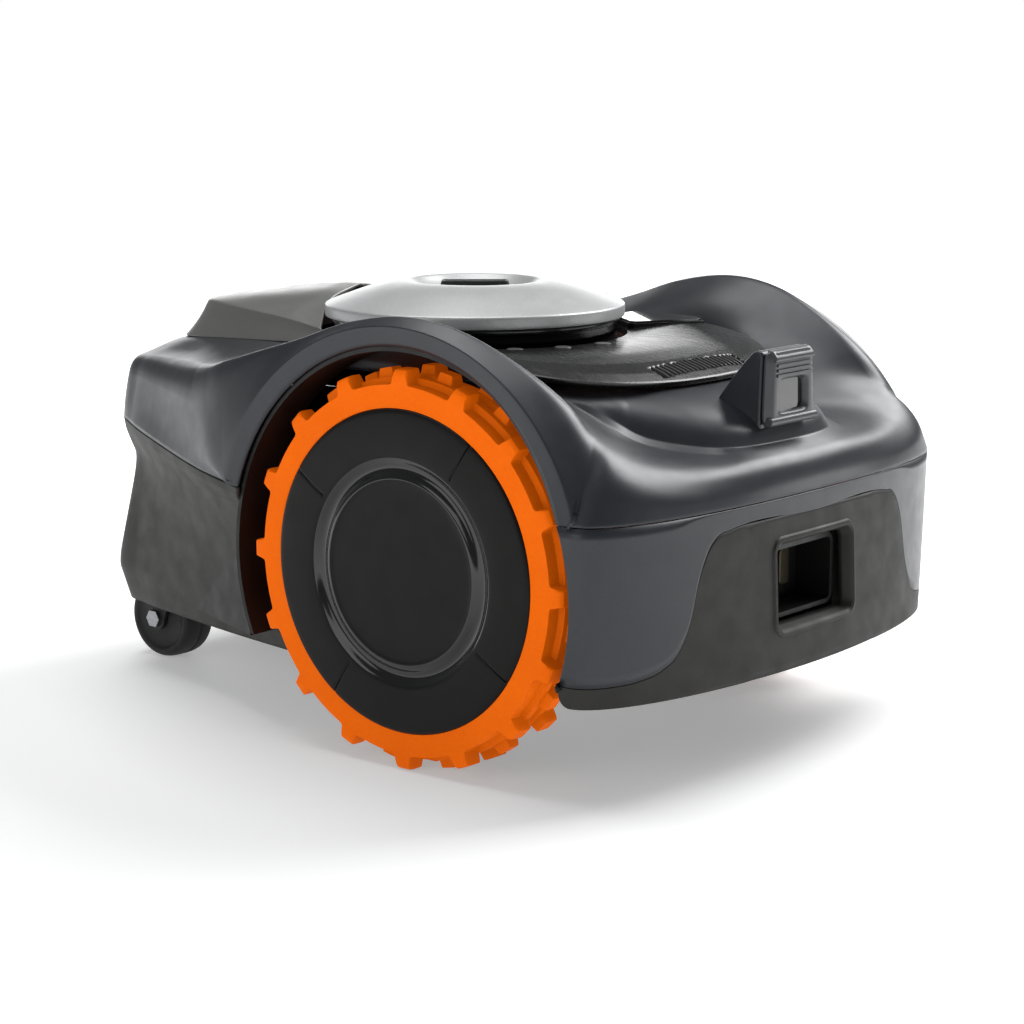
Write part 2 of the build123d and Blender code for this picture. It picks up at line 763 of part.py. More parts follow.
for side, hand in sides.items():
    centre_x = hand * caster_x
    with BuildPart() as caster_fork:
        with BuildSketch(Plane.XY.offset(fork_top_z)):
            with BuildLine():
                plate_half = fork_half + fork_arm
                Polyline((centre_x - plate_half, plate_front_y), (centre_x + plate_half, plate_front_y),
                         (centre_x + plate_half, plate_rear_y), (centre_x - plate_half, plate_rear_y),
                         close=True)
            make_face()
        extrude(amount=fork_plate)
        for offset_x in (-fork_half - fork_arm, fork_half):
            with BuildSketch(Plane.YZ.offset(centre_x + offset_x)):
                with BuildLine():
                    Polyline((stem_y - stem_radius, fork_top_z), (caster_y - arm_half_y, caster_radius),
                             (caster_y + arm_half_y, caster_radius), (caster_y + arm_half_y, fork_top_z),
                             close=True)
                make_face()
                with Locations((caster_y, caster_radius)):
                    Circle(arm_half_y)
            extrude(amount=fork_arm)
        with BuildSketch(Plane.XY.offset(fork_top_z + fork_plate)):
            with Locations((centre_x, stem_y)):
                Circle(stem_radius)
        extrude(amount=stem_top_z - fork_top_z - fork_plate)
        with BuildSketch(Plane.YZ.offset(centre_x)):
            with Locations((caster_y, caster_radius)):
                Circle(caster_axle_radius)
        extrude(amount=caster_width, both=True, mode=Mode.SUBTRACT)
    store(caster_fork, f"{side}_caster_fork")

    with BuildPart() as caster_axle:
        with BuildSketch(Plane.YZ.offset(centre_x)):
            with Locations((caster_y, caster_radius)):
                Circle(caster_axle_radius)
        extrude(amount=fork_half + fork_arm, both=True)
        for end in (-1, 1):
            with BuildSketch(Plane.YZ.offset(centre_x + end * (fork_half + fork_arm))):
                with Locations((caster_y, caster_radius)):
                    RegularPolygon(axle_nut_radius, 6)
            extrude(amount=end * axle_nut_height)
    store(caster_axle, f"{side}_caster_axle")

    with BuildPart() as caster_wheel:
        with BuildSketch(Plane.YZ.offset(centre_x)):
            with Locations((caster_y, caster_radius)):
                Circle(caster_radius)
                Circle(caster_axle_radius + running_gap, mode=Mode.SUBTRACT)
        extrude(amount=caster_width / 2, both=True)
        fillet(caster_wheel.edges().filter_by(GeomType.CIRCLE).sort_by(SortBy.RADIUS)[-2:], radius=4)
    store(caster_wheel, f"{side}_caster_wheel")


# ---- Height adjustment: guide rods, top bridge, carriage, blade motor -----------------------------

bridge_thickness = 4.0
carriage_floor_z = 66.0
motor_cup_wall = 3.0
motor_cup_top_z = flange_z + flange_thickness

with BuildPart() as lift_rods:
    with BuildSketch(Plane.XY.offset(well_roof_z + wall)):
        with Locations((0, dial_y)):
            with PolarLocations(rod_circle, 3, start_angle=90):
                Circle(rod_radius)
    extrude(amount=rod_top_z - well_roof_z - wall)
store(lift_rods, "lift_rods")

with BuildPart() as lift_bridge:
    with BuildSketch(Plane.XY.offset(rod_top_z)):
        with Locations((0, dial_y)):
            Circle(rod_circle + 2.5 * rod_radius)
            Circle(nut_radius + wall, mode=Mode.SUBTRACT)
    extrude(amount=bridge_thickness)
store(lift_bridge, "lift_bridge")

with BuildPart() as deck_carriage:
    with BuildSketch(Plane.XY.offset(carriage_floor_z)):            # motor cup
        with Locations((0, dial_y)):
            Circle(carriage_radius)
    extrude(amount=motor_cup_top_z - carriage_floor_z)
    with BuildSketch(Plane.XY.offset(flange_z)):                    # flange on the three rods
        with Locations((0, dial_y)):
            Circle(flange_radius)
            with PolarLocations(rod_circle, 3, start_angle=90):
                Circle(rod_radius + running_gap, mode=Mode.SUBTRACT)
    extrude(amount=flange_thickness)
    with BuildSketch(Plane.XY.offset(motor_cup_top_z)):             # nut column
        with Locations((0, dial_y)):
            Circle(nut_radius)
    extrude(amount=nut_top_z - motor_cup_top_z)
    with BuildSketch(Plane.XY.offset(nut_top_z)):
        with Locations((0, dial_y)):
            Circle(screw_radius + running_gap)
    extrude(amount=screw_bottom_z - lift_travel - 4 - nut_top_z, mode=Mode.SUBTRACT)
    with BuildSketch(Plane.XY.offset(carriage_floor_z)):            # room for the motor
        with Locations((0, dial_y)):
            Circle(carriage_radius - motor_cup_wall)
    extrude(amount=flange_z - carriage_floor_z, mode=Mode.SUBTRACT)
store(deck_carriage, "deck_carriage")

blade_motor_gap = 1.0
spindle_top_z = 84.0
spindle_bottom_z = 30.0

with BuildPart() as blade_motor:
    with BuildSketch(Plane.XY.offset(carriage_floor_z)):
        with Locations((0, dial_y)):
            Circle(carriage_radius - motor_cup_wall)
            Circle(spindle_radius + running_gap, mode=Mode.SUBTRACT)
    extrude(amount=spindle_top_z + 2 - carriage_floor_z)
    with BuildSketch(Plane.XY.offset(spindle_top_z + 2)):
        with Locations((0, dial_y)):
            Circle(carriage_radius - motor_cup_wall)
    extrude(amount=flange_z - spindle_top_z - 2 - blade_motor_gap)
store(blade_motor, "blade_motor")


# ---- Blade disc, blades, pivots and skid plate ----------------------------------------------------

hub_radius = 14.0
hub_height = 8.0
disc_hole_circle = 40.0
disc_hole_radius = 7.0

with BuildPart() as blade_disc:
    with BuildSketch(Plane.XY.offset(disc_z)):
        with Locations((0, dial_y)):
            Circle(disc_radius)
            Circle(spindle_radius, mode=Mode.SUBTRACT)
            with PolarLocations(blade_circle, 3):
                Circle(pivot_radius, mode=Mode.SUBTRACT)
            with PolarLocations(disc_hole_circle, 6, start_angle=30):       # lightening holes
                Circle(disc_hole_radius, mode=Mode.SUBTRACT)
    extrude(amount=disc_thickness)
    with BuildSketch(Plane.XY.offset(disc_z + disc_thickness)):
        with Locations((0, dial_y)):
            Circle(hub_radius)
            Circle(spindle_radius, mode=Mode.SUBTRACT)
    extrude(amount=hub_height)
store(blade_disc, "blade_disc")

with BuildPart() as blade_spindle:
    with BuildSketch(Plane.XY.offset(spindle_bottom_z)):
        with Locations((0, dial_y)):
            Circle(spindle_radius)
    extrude(amount=spindle_top_z - spindle_bottom_z)
store(blade_spindle, "blade_spindle")

with BuildPart() as skid_plate:
    with BuildSketch(Plane.XY.offset(skid_z)):
        with Locations((0, dial_y)):
            Circle(skid_radius)
            Circle(spindle_radius, mode=Mode.SUBTRACT)
    extrude(amount=skid_thickness)
    chamfer(skid_plate.faces().sort_by(Axis.Z)[0].edges().sort_by(SortBy.RADIUS)[-1:], length=1.5)
store(skid_plate, "skid_plate")

pivot_head_height = 1.5
pivot_gap = 0.3                 # under a blade

with BuildPart() as blade_pivots:
    with BuildSketch(Plane.XY.offset(blade_z - pivot_head_height - pivot_gap)):
        with Locations((0, dial_y)):
            with PolarLocations(blade_circle, 3):
                Circle(2 * pivot_radius)
    extrude(amount=pivot_head_height)
    with BuildSketch(Plane.XY.offset(blade_z - pivot_gap)):
        with Locations((0, dial_y)):
            with PolarLocations(blade_circle, 3):
                Circle(pivot_radius)
    extrude(amount=disc_z + disc_thickness - blade_z + pivot_gap)
store(blade_pivots, "blade_pivots")

for number in range(3):
    angle = 120 * number
    with BuildPart() as blade:
        blade_plane = Plane((0, dial_y, blade_z)).rotated((0, 0, angle))
        with BuildSketch(blade_plane):
            with Locations((blade_circle + blade_reach / 2 - blade_width / 4, 0)):
                RectangleRounded(blade_reach + blade_width / 2, blade_width, 2)
            with Locations((blade_circle, 0)):
                Circle(pivot_radius + running_gap, mode=Mode.SUBTRACT)
        extrude(amount=blade_thickness)
        cutting_edges = blade.edges().filter_by(GeomType.LINE).sort_by(SortBy.LENGTH)[-4:]
        chamfer(cutting_edges.sort_by(Axis.Z)[:2], length=0.6)
    store(blade, f"blade_{number + 1}")


# ---- Height dial: silver cap, grip, black drum and the lift screw ---------------------------------

cap_bottom_z = dial_rim_z - dial_band
dish_floor_z = overall_height - dish_depth

with BuildPart() as dial_cap:
    with BuildSketch(Plane.XZ.offset(-dial_y)):
        with BuildLine():
            base = Line((0, cap_bottom_z), (dial_radius, cap_bottom_z))
            band = Line(base @ 1, (dial_radius, dial_rim_z))
            crown = Spline(band @ 1, (dial_crown_radius, overall_height - 0.4), (dish_radius, overall_height))
            Polyline(crown @ 1, (0, overall_height), (0, cap_bottom_z))
        make_face()
    revolve(axis=Axis((0, dial_y, 0), (0, 0, 1)))
    with BuildSketch(Plane.XY.offset(dish_floor_z)):
        with Locations((0, dial_y)):
            Circle(dish_radius - 2)
    extrude(amount=dish_depth, taper=-6, mode=Mode.SUBTRACT)
    with BuildSketch(Plane.XZ.offset(-dial_y)):                     # hollow underneath
        with BuildLine():
            Polyline((0, cap_bottom_z), (dial_radius - wall, cap_bottom_z),
                     (dial_radius - wall, dial_rim_z - wall),
                     (dial_crown_radius, overall_height - 2 * wall), (dial_crown_radius, dish_floor_z - wall),
                     (0, dish_floor_z - wall), close=True)
        make_face()
    revolve(axis=Axis((0, dial_y, 0), (0, 0, 1)), mode=Mode.SUBTRACT)
store(dial_cap, "dial_cap")

with BuildPart() as dial_grip:
    with BuildSketch(Plane.XY.offset(dish_floor_z)):
        with Locations((0, dial_y)):
            SlotOverall(grip_length, grip_width, rotation=grip_angle)
    extrude(amount=dish_depth - 0.5, taper=4)
    fillet(dial_grip.faces().sort_by(Axis.Z)[-1].edges(), radius=1.5)
store(dial_grip, "dial_grip")

with BuildPart() as dial_drum:
    with BuildSketch(Plane.XY.offset(drum_bottom_z)):
        with Locations((0, dial_y)):
            Circle(drum_radius)
    extrude(amount=cap_bottom_z - drum_bottom_z)
    with BuildSketch(Plane.XY.offset(drum_bottom_z + wall)):
        with Locations((0, dial_y)):
            Circle(drum_radius - 2 * wall)
    extrude(amount=overall_height, mode=Mode.SUBTRACT)
store(dial_drum, "dial_drum")

with BuildPart() as lift_screw:
    with BuildSketch(Plane.XY.offset(screw_bottom_z)):
        with Locations((0, dial_y)):
            Circle(screw_radius)
    extrude(amount=drum_bottom_z - screw_bottom_z)
    chamfer(lift_screw.faces().sort_by(Axis.Z)[0].edges(), length=1)
store(lift_screw, "lift_screw")


# ---- Top panel, vent, display, keys and stop button -----------------------------------------------

with BuildPart() as panel_stock:
    with BuildSketch(Plane.YZ):
        with BuildLine():
            Polyline(*panel_profile, (dial_y + dial_radius, panel_top_z), (dial_y + dial_radius, panel_low_z),
                     close=True)
        make_face()
    extrude(amount=overall_width / 2, both=True)
    with BuildSketch(Plane.XY.offset(200)):
        with BuildLine():
            Polyline(*panel_edge, (0, panel_end_y))
            mirror(about=Plane.YZ)
        make_face()
        with Locations((0, dial_y)):
            Circle(dial_radius - 1)
    extrude(amount=100, mode=Mode.INTERSECT)
    add(hull_outer, mode=Mode.SUBTRACT)

vent_run = math.dist(vent_slope_start, vent_slope_end)
vent_plane = Plane(origin=(0, (vent_slope_start[0] + vent_slope_end[0]) / 2,
                           (vent_slope_start[1] + vent_slope_end[1]) / 2),
                   x_dir=(1, 0, 0),
                   z_dir=(0, vent_slope_start[1] - vent_slope_end[1],
                          vent_slope_end[0] - vent_slope_start[0]))
vent_thickness = 1.6
vent_margin = 2.0
slot_pitch = 2 * (vent_half - 3) / vent_slots

with BuildPart() as vent_grille:
    with BuildSketch(vent_plane):
        Rectangle(2 * vent_half, vent_run)
        with GridLocations(slot_pitch, 0, vent_slots, 1):
            Rectangle(slot_pitch / 2, vent_run - 2 * vent_margin, mode=Mode.SUBTRACT)
    extrude(amount=vent_thickness, both=True)
    add(hull_outer, mode=Mode.SUBTRACT)

with BuildPart() as vent_pocket:
    with BuildSketch(vent_plane):
        Rectangle(2 * vent_half, vent_run)
    extrude(amount=vent_thickness, both=True)
store(vent_grille, "vent_grille")

# The display housing stands on the panel between the dial and the left fender.
with BuildPart() as display_module:
    with BuildSketch(Plane.XY.offset(panel_top_z)):
        with BuildLine():
            Polyline(*display_edge, close=True)
        make_face()
        with Locations((0, dial_y)):
            Circle(dial_radius + dial_gap, mode=Mode.SUBTRACT)
    extrude(amount=display_z - glass_thickness - panel_top_z)
    add(hull_outer, mode=Mode.SUBTRACT)
store(display_module, "display_module")

with BuildPart() as display_glass:
    with BuildSketch(Plane.XY.offset(display_z - glass_thickness)):
        with BuildLine():
            Polyline(*display_edge, close=True)
        make_face()
        with Locations((0, dial_y)):
            Circle(dial_radius + dial_gap, mode=Mode.SUBTRACT)
        offset(amount=-glass_inset, kind=Kind.INTERSECTION)
    extrude(amount=glass_thickness)
    add(hull_outer, mode=Mode.SUBTRACT)
store(display_glass, "display_glass")

key_places = {name: (key_circle * math.cos(math.radians(angle)),
                     dial_y + key_circle * math.sin(math.radians(angle)))
              for name, angle in key_spots.items()}

with BuildPart() as top_panel:
    add(panel_stock.part)
    add(vent_pocket.part, mode=Mode.SUBTRACT)
    with BuildSketch(Plane.XY.offset(panel_top_z)):                 # collar of the stop button
        with Locations((stop_x, stop_y)):
            Circle(stop_radius + collar_wall)
            Circle(stop_radius + key_gap, mode=Mode.SUBTRACT)
    extrude(amount=collar_height)
    with BuildSketch(Plane.XY.offset(panel_top_z - 10)):
        with Locations((0, dial_y)):
            Circle(screw_radius + running_gap)
    extrude(amount=20, mode=Mode.SUBTRACT)
    with BuildSketch(Plane.XY.offset(panel_top_z - 10)):
        with Locations((stop_x, stop_y)):
            Circle(stop_radius + key_gap)
        with Locations(*key_places.values()):
            Circle(key_radius + key_gap)
    extrude(amount=30, mode=Mode.SUBTRACT)
    add(hull_outer, mode=Mode.SUBTRACT)
    with BuildSketch(Plane.XY.offset(panel_top_z)):                 # keep clear of the dial
        with Locations((0, dial_y)):
            Circle(dial_radius + 2)
    extrude(amount=30, mode=Mode.SUBTRACT)
store(top_panel, "top_panel")

stop_bottom_z = deck_z + stop_travel + 1

with BuildPart() as stop_button:
    with BuildSketch(Plane.XY.offset(stop_bottom_z)):
        with Locations((stop_x, stop_y)):
            Circle(stop_radius)
    extrude(amount=stop_top_z - stop_bottom_z)
    fillet(stop_button.faces().sort_by(Axis.Z)[-1].edges(), radius=3)
store(stop_button, "stop_button")

for name, (key_x, key_y) in key_places.items():
    with BuildPart() as key:
        with BuildSketch(Plane.XY.offset(panel_top_z - key_sunk)):
            with Locations((key_x, key_y)):
                Circle(key_radius)
        extrude(amount=key_sunk + key_proud)
        fillet(key.faces().sort_by(Axis.Z)[-1].edges(), radius=0.8)
    store(key, name)


# ---- Camera pod -----------------------------------------------------------------------------------

with BuildPart() as pod_housing:
    with BuildSketch(Plane.YZ):
        with BuildLine():
            Polyline(*pod_profile, close=True)
        make_face()
    extrude(amount=pod_half, both=True)
    with BuildSketch(Plane.YZ):
        with BuildLine():
            Polyline(*pod_profile, close=True)
        make_face()
        offset(amount=-pod_wall, kind=Kind.INTERSECTION)
    extrude(amount=pod_half - pod_wall, both=True, mode=Mode.SUBTRACT)
    with BuildSketch(Plane.XZ.offset(-pod_front_y)):                # opening behind the window
        with Locations((0, window_z)):
            Rectangle(window_width - 4, window_height - 4)
    extrude(amount=-2 * pod_wall, mode=Mode.SUBTRACT)
    add(hull_outer, mode=Mode.SUBTRACT)
store(pod_housing, "pod_housing")

with BuildPart() as pod_bezel:
    with BuildSketch(Plane.XZ.offset(-pod_front_y)):
        with Locations((0, (bezel_bottom_z + bezel_top_z) / 2)):
            RectangleRounded(2 * bezel_half, bezel_top_z - bezel_bottom_z, 3)
        with Locations((0, window_z)):
            RectangleRounded(window_width, window_height, 3, mode=Mode.SUBTRACT)
    extrude(amount=bezel_depth)
    chamfer(pod_bezel.faces().sort_by(Axis.Y)[0].outer_wire().edges(), length=1.5)
    add(hull_outer, mode=Mode.SUBTRACT)
store(pod_bezel, "pod_bezel")

with BuildPart() as camera_window:
    with BuildSketch(Plane.XZ.offset(-pod_front_y)):
        with Locations((0, window_z)):
            RectangleRounded(window_width, window_height, 3)
    extrude(amount=2)
store(camera_window, "camera_window")

with BuildPart() as camera_module:
    with BuildSketch(Plane.XZ.offset(-camera_rear_y)):
        with Locations((0, window_z)):
            RectangleRounded(camera_width, camera_height, 2)
    extrude(amount=camera_depth)
    with BuildSketch(Plane.XZ.offset(-camera_rear_y + camera_depth)):
        with Locations((lens_x, window_z)):
            Circle(lens_radius)
    extrude(amount=lens_length)
    add(hull_outer, mode=Mode.SUBTRACT)
store(camera_module, "camera_module")


# ---- Rear cover and the antenna under it ----------------------------------------------------------


def hump_solid(inset):
    """The rear cover's outer body, pulled in by inset."""
    with BuildPart(mode=Mode.PRIVATE) as hump:
        with BuildSketch(Plane.YZ):
            with BuildLine():
                Polyline(*[(y, z - inset) for y, z in hump_profile], close=True)
            make_face()
        extrude(amount=hump_half, both=True)
        with BuildSketch(Plane.XZ):
            with BuildLine():
                Polyline((hump_half - inset, 0), (hump_half - inset, hump_wall_z),
                         (hump_top_half - inset, hump_high_z), (0, hump_high_z), (0, 0), close=True)
            make_face()
            mirror(about=Plane.YZ)
        extrude(amount=overall_length, both=True, mode=Mode.INTERSECT)
        with BuildSketch(Plane.XY):
            with Locations((0, dial_y)):
                Circle(dial_radius + dial_gap + inset)
        extrude(amount=overall_height + 10, mode=Mode.SUBTRACT)
        rear_y = hump_profile[-2][0] - inset
        add(slab((-overall_width, -beyond, 0), (overall_width, rear_y, overall_height)), mode=Mode.INTERSECT)
    return hump.part


with BuildPart() as rear_cover:
    add(hump_solid(0))
    add(hump_solid(pod_wall), mode=Mode.SUBTRACT)
    add(hull_outer, mode=Mode.SUBTRACT)
store(rear_cover, "rear_cover")

with BuildPart() as antenna_module:
    with BuildSketch(Plane.XY.offset(deck_z)):
        with Locations((0, antenna_y)):
            RectangleRounded(antenna_width, antenna_length, 4)
    extrude(amount=antenna_height)
    add(hull_outer, mode=Mode.SUBTRACT)
    with BuildSketch(Plane.XY.offset(deck_z + antenna_height)):
        with Locations((0, antenna_y)):
            Circle(antenna_disc_radius)
    extrude(amount=antenna_disc_height)
store(antenna_module, "antenna_module")
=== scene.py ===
import math

import bmesh
import bpy
import numpy as np
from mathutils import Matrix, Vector


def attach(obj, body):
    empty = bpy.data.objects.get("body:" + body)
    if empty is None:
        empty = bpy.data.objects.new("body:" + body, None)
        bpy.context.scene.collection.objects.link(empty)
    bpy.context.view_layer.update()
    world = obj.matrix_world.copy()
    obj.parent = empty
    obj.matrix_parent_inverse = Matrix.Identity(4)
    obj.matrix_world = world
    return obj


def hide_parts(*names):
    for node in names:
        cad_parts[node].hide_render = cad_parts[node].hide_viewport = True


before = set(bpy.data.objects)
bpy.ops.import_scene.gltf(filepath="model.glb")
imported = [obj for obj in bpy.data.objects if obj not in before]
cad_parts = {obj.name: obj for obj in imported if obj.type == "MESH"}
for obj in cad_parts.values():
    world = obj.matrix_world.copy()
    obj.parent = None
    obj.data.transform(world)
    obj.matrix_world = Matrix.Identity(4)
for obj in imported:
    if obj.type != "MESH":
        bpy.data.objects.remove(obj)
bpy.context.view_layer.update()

mm = 0.001
sides = (("left", 1), ("right", -1))     # +X is the mower's left
scene = bpy.context.scene
scene.view_settings.view_transform = "Standard"
print("frame loaded:", len(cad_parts), "nodes")


# Camera, floor and light

studio = {
    "cameraAt": (-1.3310, -1.0988, 0.4477),
    "cameraYaw": 0.892765,           # from +Y towards +X, radians
    "cameraPitch": 0.184657,         # downwards
    "lens": 89.9,
    "floorHalf": 14.0,
    "floorGlowPaintedShadeNear": (0.34, 1.0),       # near the mower and far from it; the lower glow near the mower is painted shade around it
    # the glow rises between these distances, in metres, from the painted shade near the mower
    "glowFrom": 0.5, "glowTo": 1.6,
    "worldStrength": 0.2,           # on the object; what the camera sees of it is white
}


def setInputs(node, values):
    for key, value in values.items():
        node.inputs[key].default_value = value


def makeCamera():
    yaw, pitch = studio["cameraYaw"], studio["cameraPitch"]
    forward = Vector((math.cos(pitch) * math.sin(yaw), math.cos(pitch) * math.cos(yaw), -math.sin(pitch)))
    camera = bpy.data.objects.new("camera", bpy.data.cameras.new("camera"))
    camera.data.lens = studio["lens"]
    camera.data.clip_end = 60.0
    camera.location = studio["cameraAt"]
    camera.rotation_euler = forward.to_track_quat("-Z", "Y").to_euler()
    scene.collection.objects.link(camera)
    scene.camera = camera


def areaLight(name, at, aim, size, watts):
    light = bpy.data.lights.new(name, "AREA")
    light.shape = "RECTANGLE"
    light.size, light.size_y = size
    light.energy = watts
    lamp = bpy.data.objects.new(name, light)
    lamp.location = at
    lamp.rotation_euler = (Vector(aim) - Vector(at)).to_track_quat("-Z", "Y").to_euler()
    scene.collection.objects.link(lamp)


def makeWorld():
    world = bpy.data.worlds.new("studioWorld")
    world.use_nodes = True
    tree = world.node_tree
    light = tree.nodes["Background"]
    setInputs(light, {"Color": (0.96, 0.98, 1.0, 1.0), "Strength": studio["worldStrength"]})
    paper = tree.nodes.new("ShaderNodeBackground")
    setInputs(paper, {"Color": (1.0, 1.0, 1.0, 1.0)})
    path, mix = tree.nodes.new("ShaderNodeLightPath"), tree.nodes.new("ShaderNodeMixShader")
    tree.links.new(path.outputs["Is Camera Ray"], mix.inputs["Fac"])
    tree.links.new(light.outputs["Background"], mix.inputs[1])
    tree.links.new(paper.outputs["Background"], mix.inputs[2])
    tree.links.new(mix.outputs["Shader"], tree.nodes["World Output"].inputs["Surface"])
    scene.world = world


makeCamera()
areaLight("topSoftbox", (0.1, 0.5, 2.3), (0, 0, 0.1), (1.6, 1.4), 24)
areaLight("noseSoftbox", (1.75, -0.6, 1.8), (0, -0.2, 0.18), (1.5, 1.5), 56)
areaLight("sideSoftbox", (-2.3, 0.2, 1.0), (0, 0, 0.12), (1.6, 1.0), 7)
areaLight("horizonStrip", (2.3, 1.9, 0.6), (0, 0, 0.25), (2.8, 0.9), 22)
makeWorld()
print("camera and lights made")


# Materials: each finish is a small node tree on Object coordinates

def newFinish(name, roughness=0.5, metallic=0.0, coat=0.0, coatRoughness=0.1, specular=0.5):
    material = bpy.data.materials.new(name)
    material.use_nodes = True
    shader = material.node_tree.nodes["Principled BSDF"]
    setInputs(shader, {"Roughness": roughness, "Metallic": metallic, "Coat Weight": coat,
                       "Coat Roughness": coatRoughness, "Specular IOR Level": specular})
    return material, material.node_tree, shader


def objectCoords(tree):
    return tree.nodes.new("ShaderNodeTexCoord").outputs["Object"]


def noise(tree, scale, detail=3.0, stretch=None):
    grain = tree.nodes.new("ShaderNodeTexNoise")
    setInputs(grain, {"Scale": scale, "Detail": detail})
    coords = objectCoords(tree)
    if stretch is not None:
        mapping = tree.nodes.new("ShaderNodeMapping")
        setInputs(mapping, {"Scale": stretch})
        tree.links.new(coords, mapping.inputs["Vector"])
        coords = mapping.outputs["Vector"]
    tree.links.new(coords, grain.inputs["Vector"])
    return grain.outputs["Fac"]


def ramp(tree, value, stops):
    # stops are (place from 0 to 1, colour)
    node = tree.nodes.new("ShaderNodeValToRGB")
    first, last = node.color_ramp.elements[0], node.color_ramp.elements[1]
    first.position, first.color = stops[0][0], (*stops[0][1], 1.0)
    last.position, last.color = stops[-1][0], (*stops[-1][1], 1.0)
    for place, colour in stops[1:-1]:
        node.color_ramp.elements.new(place).color = (*colour, 1.0)
    tree.links.new(value, node.inputs["Fac"])
    return node.outputs["Color"]


def spread(tree, value, low, high, fromLow=0.3, fromHigh=0.7):
    # a noise's middle range spread from low to high
    node = tree.nodes.new("ShaderNodeMapRange")
    setInputs(node, {"From Min": fromLow, "From Max": fromHigh, "To Min": low, "To Max": high})
    tree.links.new(value, node.inputs["Value"])
    return node.outputs["Result"]


def bump(tree, shader, height, strength, distance):
    node = tree.nodes.new("ShaderNodeBump")
    setInputs(node, {"Strength": strength, "Distance": distance})
    tree.links.new(height, node.inputs["Height"])
    tree.links.new(node.outputs["Normal"], shader.inputs["Normal"])


def mixColours(tree, factor, first, second, blend="MIX"):
    node = tree.nodes.new("ShaderNodeMix")
    node.data_type = "RGBA"
    node.blend_type = blend
    if isinstance(factor, float):
        node.inputs["Factor"].default_value = factor
    else:
        tree.links.new(factor, node.inputs["Factor"])
    tree.links.new(first, node.inputs["A"])
    tree.links.new(second, node.inputs["B"])
    return node.outputs["Result"]


def shade(colour, share):
    return tuple(min(1.0, part * share) for part in colour)


def satinPaint(name, colour, metallic=0.35, rough=(0.34, 0.42)):
    # metallic paint: fine flake over a slow drift of tone, with a thin clear coat
    material, tree, shader = newFinish(name, metallic=metallic, coat=0.2, coatRoughness=0.3)
    flake = ramp(tree, noise(tree, 2600.0, 2.0), [(0.35, shade(colour, 0.82)), (0.65, shade(colour, 1.2))])
    drift = ramp(tree, noise(tree, 14.0), [(0.3, (0.93, 0.93, 0.94)), (0.7, (1.0, 1.0, 1.0))])
    tree.links.new(mixColours(tree, 1.0, flake, drift, "MULTIPLY"), shader.inputs["Base Color"])
    tree.links.new(spread(tree, noise(tree, 90.0), *rough), shader.inputs["Roughness"])
    bump(tree, shader, noise(tree, 1800.0), 0.05, 0.0002)
    return material


def mouldedPlastic(name, colour, rough=(0.5, 0.62), grain=1400.0, depth=0.16, specular=0.45):
    # spark-eroded grain, a little uneven in tone where the mould has worn
    material, tree, shader = newFinish(name, specular=specular)
    speck = ramp(tree, noise(tree, grain, 4.0), [(0.3, shade(colour, 0.8)), (0.7, shade(colour, 1.2))])
    drift = ramp(tree, noise(tree, 18.0), [(0.3, (0.88, 0.88, 0.88)), (0.7, (1.0, 1.0, 1.0))])
    tree.links.new(mixColours(tree, 1.0, speck, drift, "MULTIPLY"), shader.inputs["Base Color"])
    tree.links.new(spread(tree, noise(tree, 60.0), *rough), shader.inputs["Roughness"])
    bump(tree, shader, noise(tree, grain, 5.0), depth, 0.0004)
    return material


def glossPlastic(name, colour, rough=(0.05, 0.1), coat=0.5):
    # polished: faint swirl marks in the roughness, a slow orange peel in the surface
    material, tree, shader = newFinish(name, coat=coat, coatRoughness=0.04, specular=0.5)
    tone = ramp(tree, noise(tree, 40.0), [(0.3, shade(colour, 0.85)), (0.7, shade(colour, 1.15))])
    tree.links.new(tone, shader.inputs["Base Color"])
    swirl = noise(tree, 260.0, 6.0, (1.0, 0.15, 1.0))
    tree.links.new(spread(tree, swirl, *rough), shader.inputs["Roughness"])
    bump(tree, shader, noise(tree, 110.0, 1.0), 0.02, 0.0006)
    return material


def tyreRubber(name, colour, paintedGlow=0.2):
    # vivid moulded rubber that glows with painted light of its own, though it is no lamp: fine pores, and a
    # slightly dusty bloom in patches
    material, tree, shader = newFinish(name, specular=0.06)
    pores = ramp(tree, noise(tree, 900.0, 4.0), [(0.3, shade(colour, 0.9)), (0.7, shade(colour, 1.06))])
    bloom = ramp(tree, noise(tree, 26.0, 4.0), [(0.35, (0.95, 0.93, 0.9)), (0.65, (1.0, 1.0, 1.0))])
    tone = mixColours(tree, 1.0, pores, bloom, "MULTIPLY")
    # seen by diffuse rays the orange is a dull brown, so that it tints nothing near it
    dull = tree.nodes.new("ShaderNodeRGB")
    dull.outputs["Color"].default_value = (0.12, 0.07, 0.05, 1.0)
    path = tree.nodes.new("ShaderNodeLightPath")
    shown = mixColours(tree, path.outputs["Is Diffuse Ray"], tone, dull.outputs["Color"])
    tree.links.new(shown, shader.inputs["Base Color"])
    # the same colour drives the emission: a painted glow on the tyre
    tree.links.new(shown, shader.inputs["Emission Color"])
    setInputs(shader, {"Emission Strength": paintedGlow})
    tree.links.new(spread(tree, noise(tree, 45.0, 5.0), 0.5, 0.66), shader.inputs["Roughness"])
    bump(tree, shader, noise(tree, 1100.0, 3.0), 0.12, 0.0004)
    return material


def brushedMetal(name, colour, rough=(0.26, 0.4), stretch=(1.0, 1.0, 30.0)):
    # brushing marks: noise drawn out along one direction
    material, tree, shader = newFinish(name, metallic=1.0)
    marks = noise(tree, 420.0, 4.0, stretch)
    tree.links.new(ramp(tree, marks, [(0.3, shade(colour, 0.8)), (0.7, shade(colour, 1.12))]),
                   shader.inputs["Base Color"])
    tree.links.new(spread(tree, marks, *rough), shader.inputs["Roughness"])
    bump(tree, shader, marks, 0.05, 0.0002)
    return material


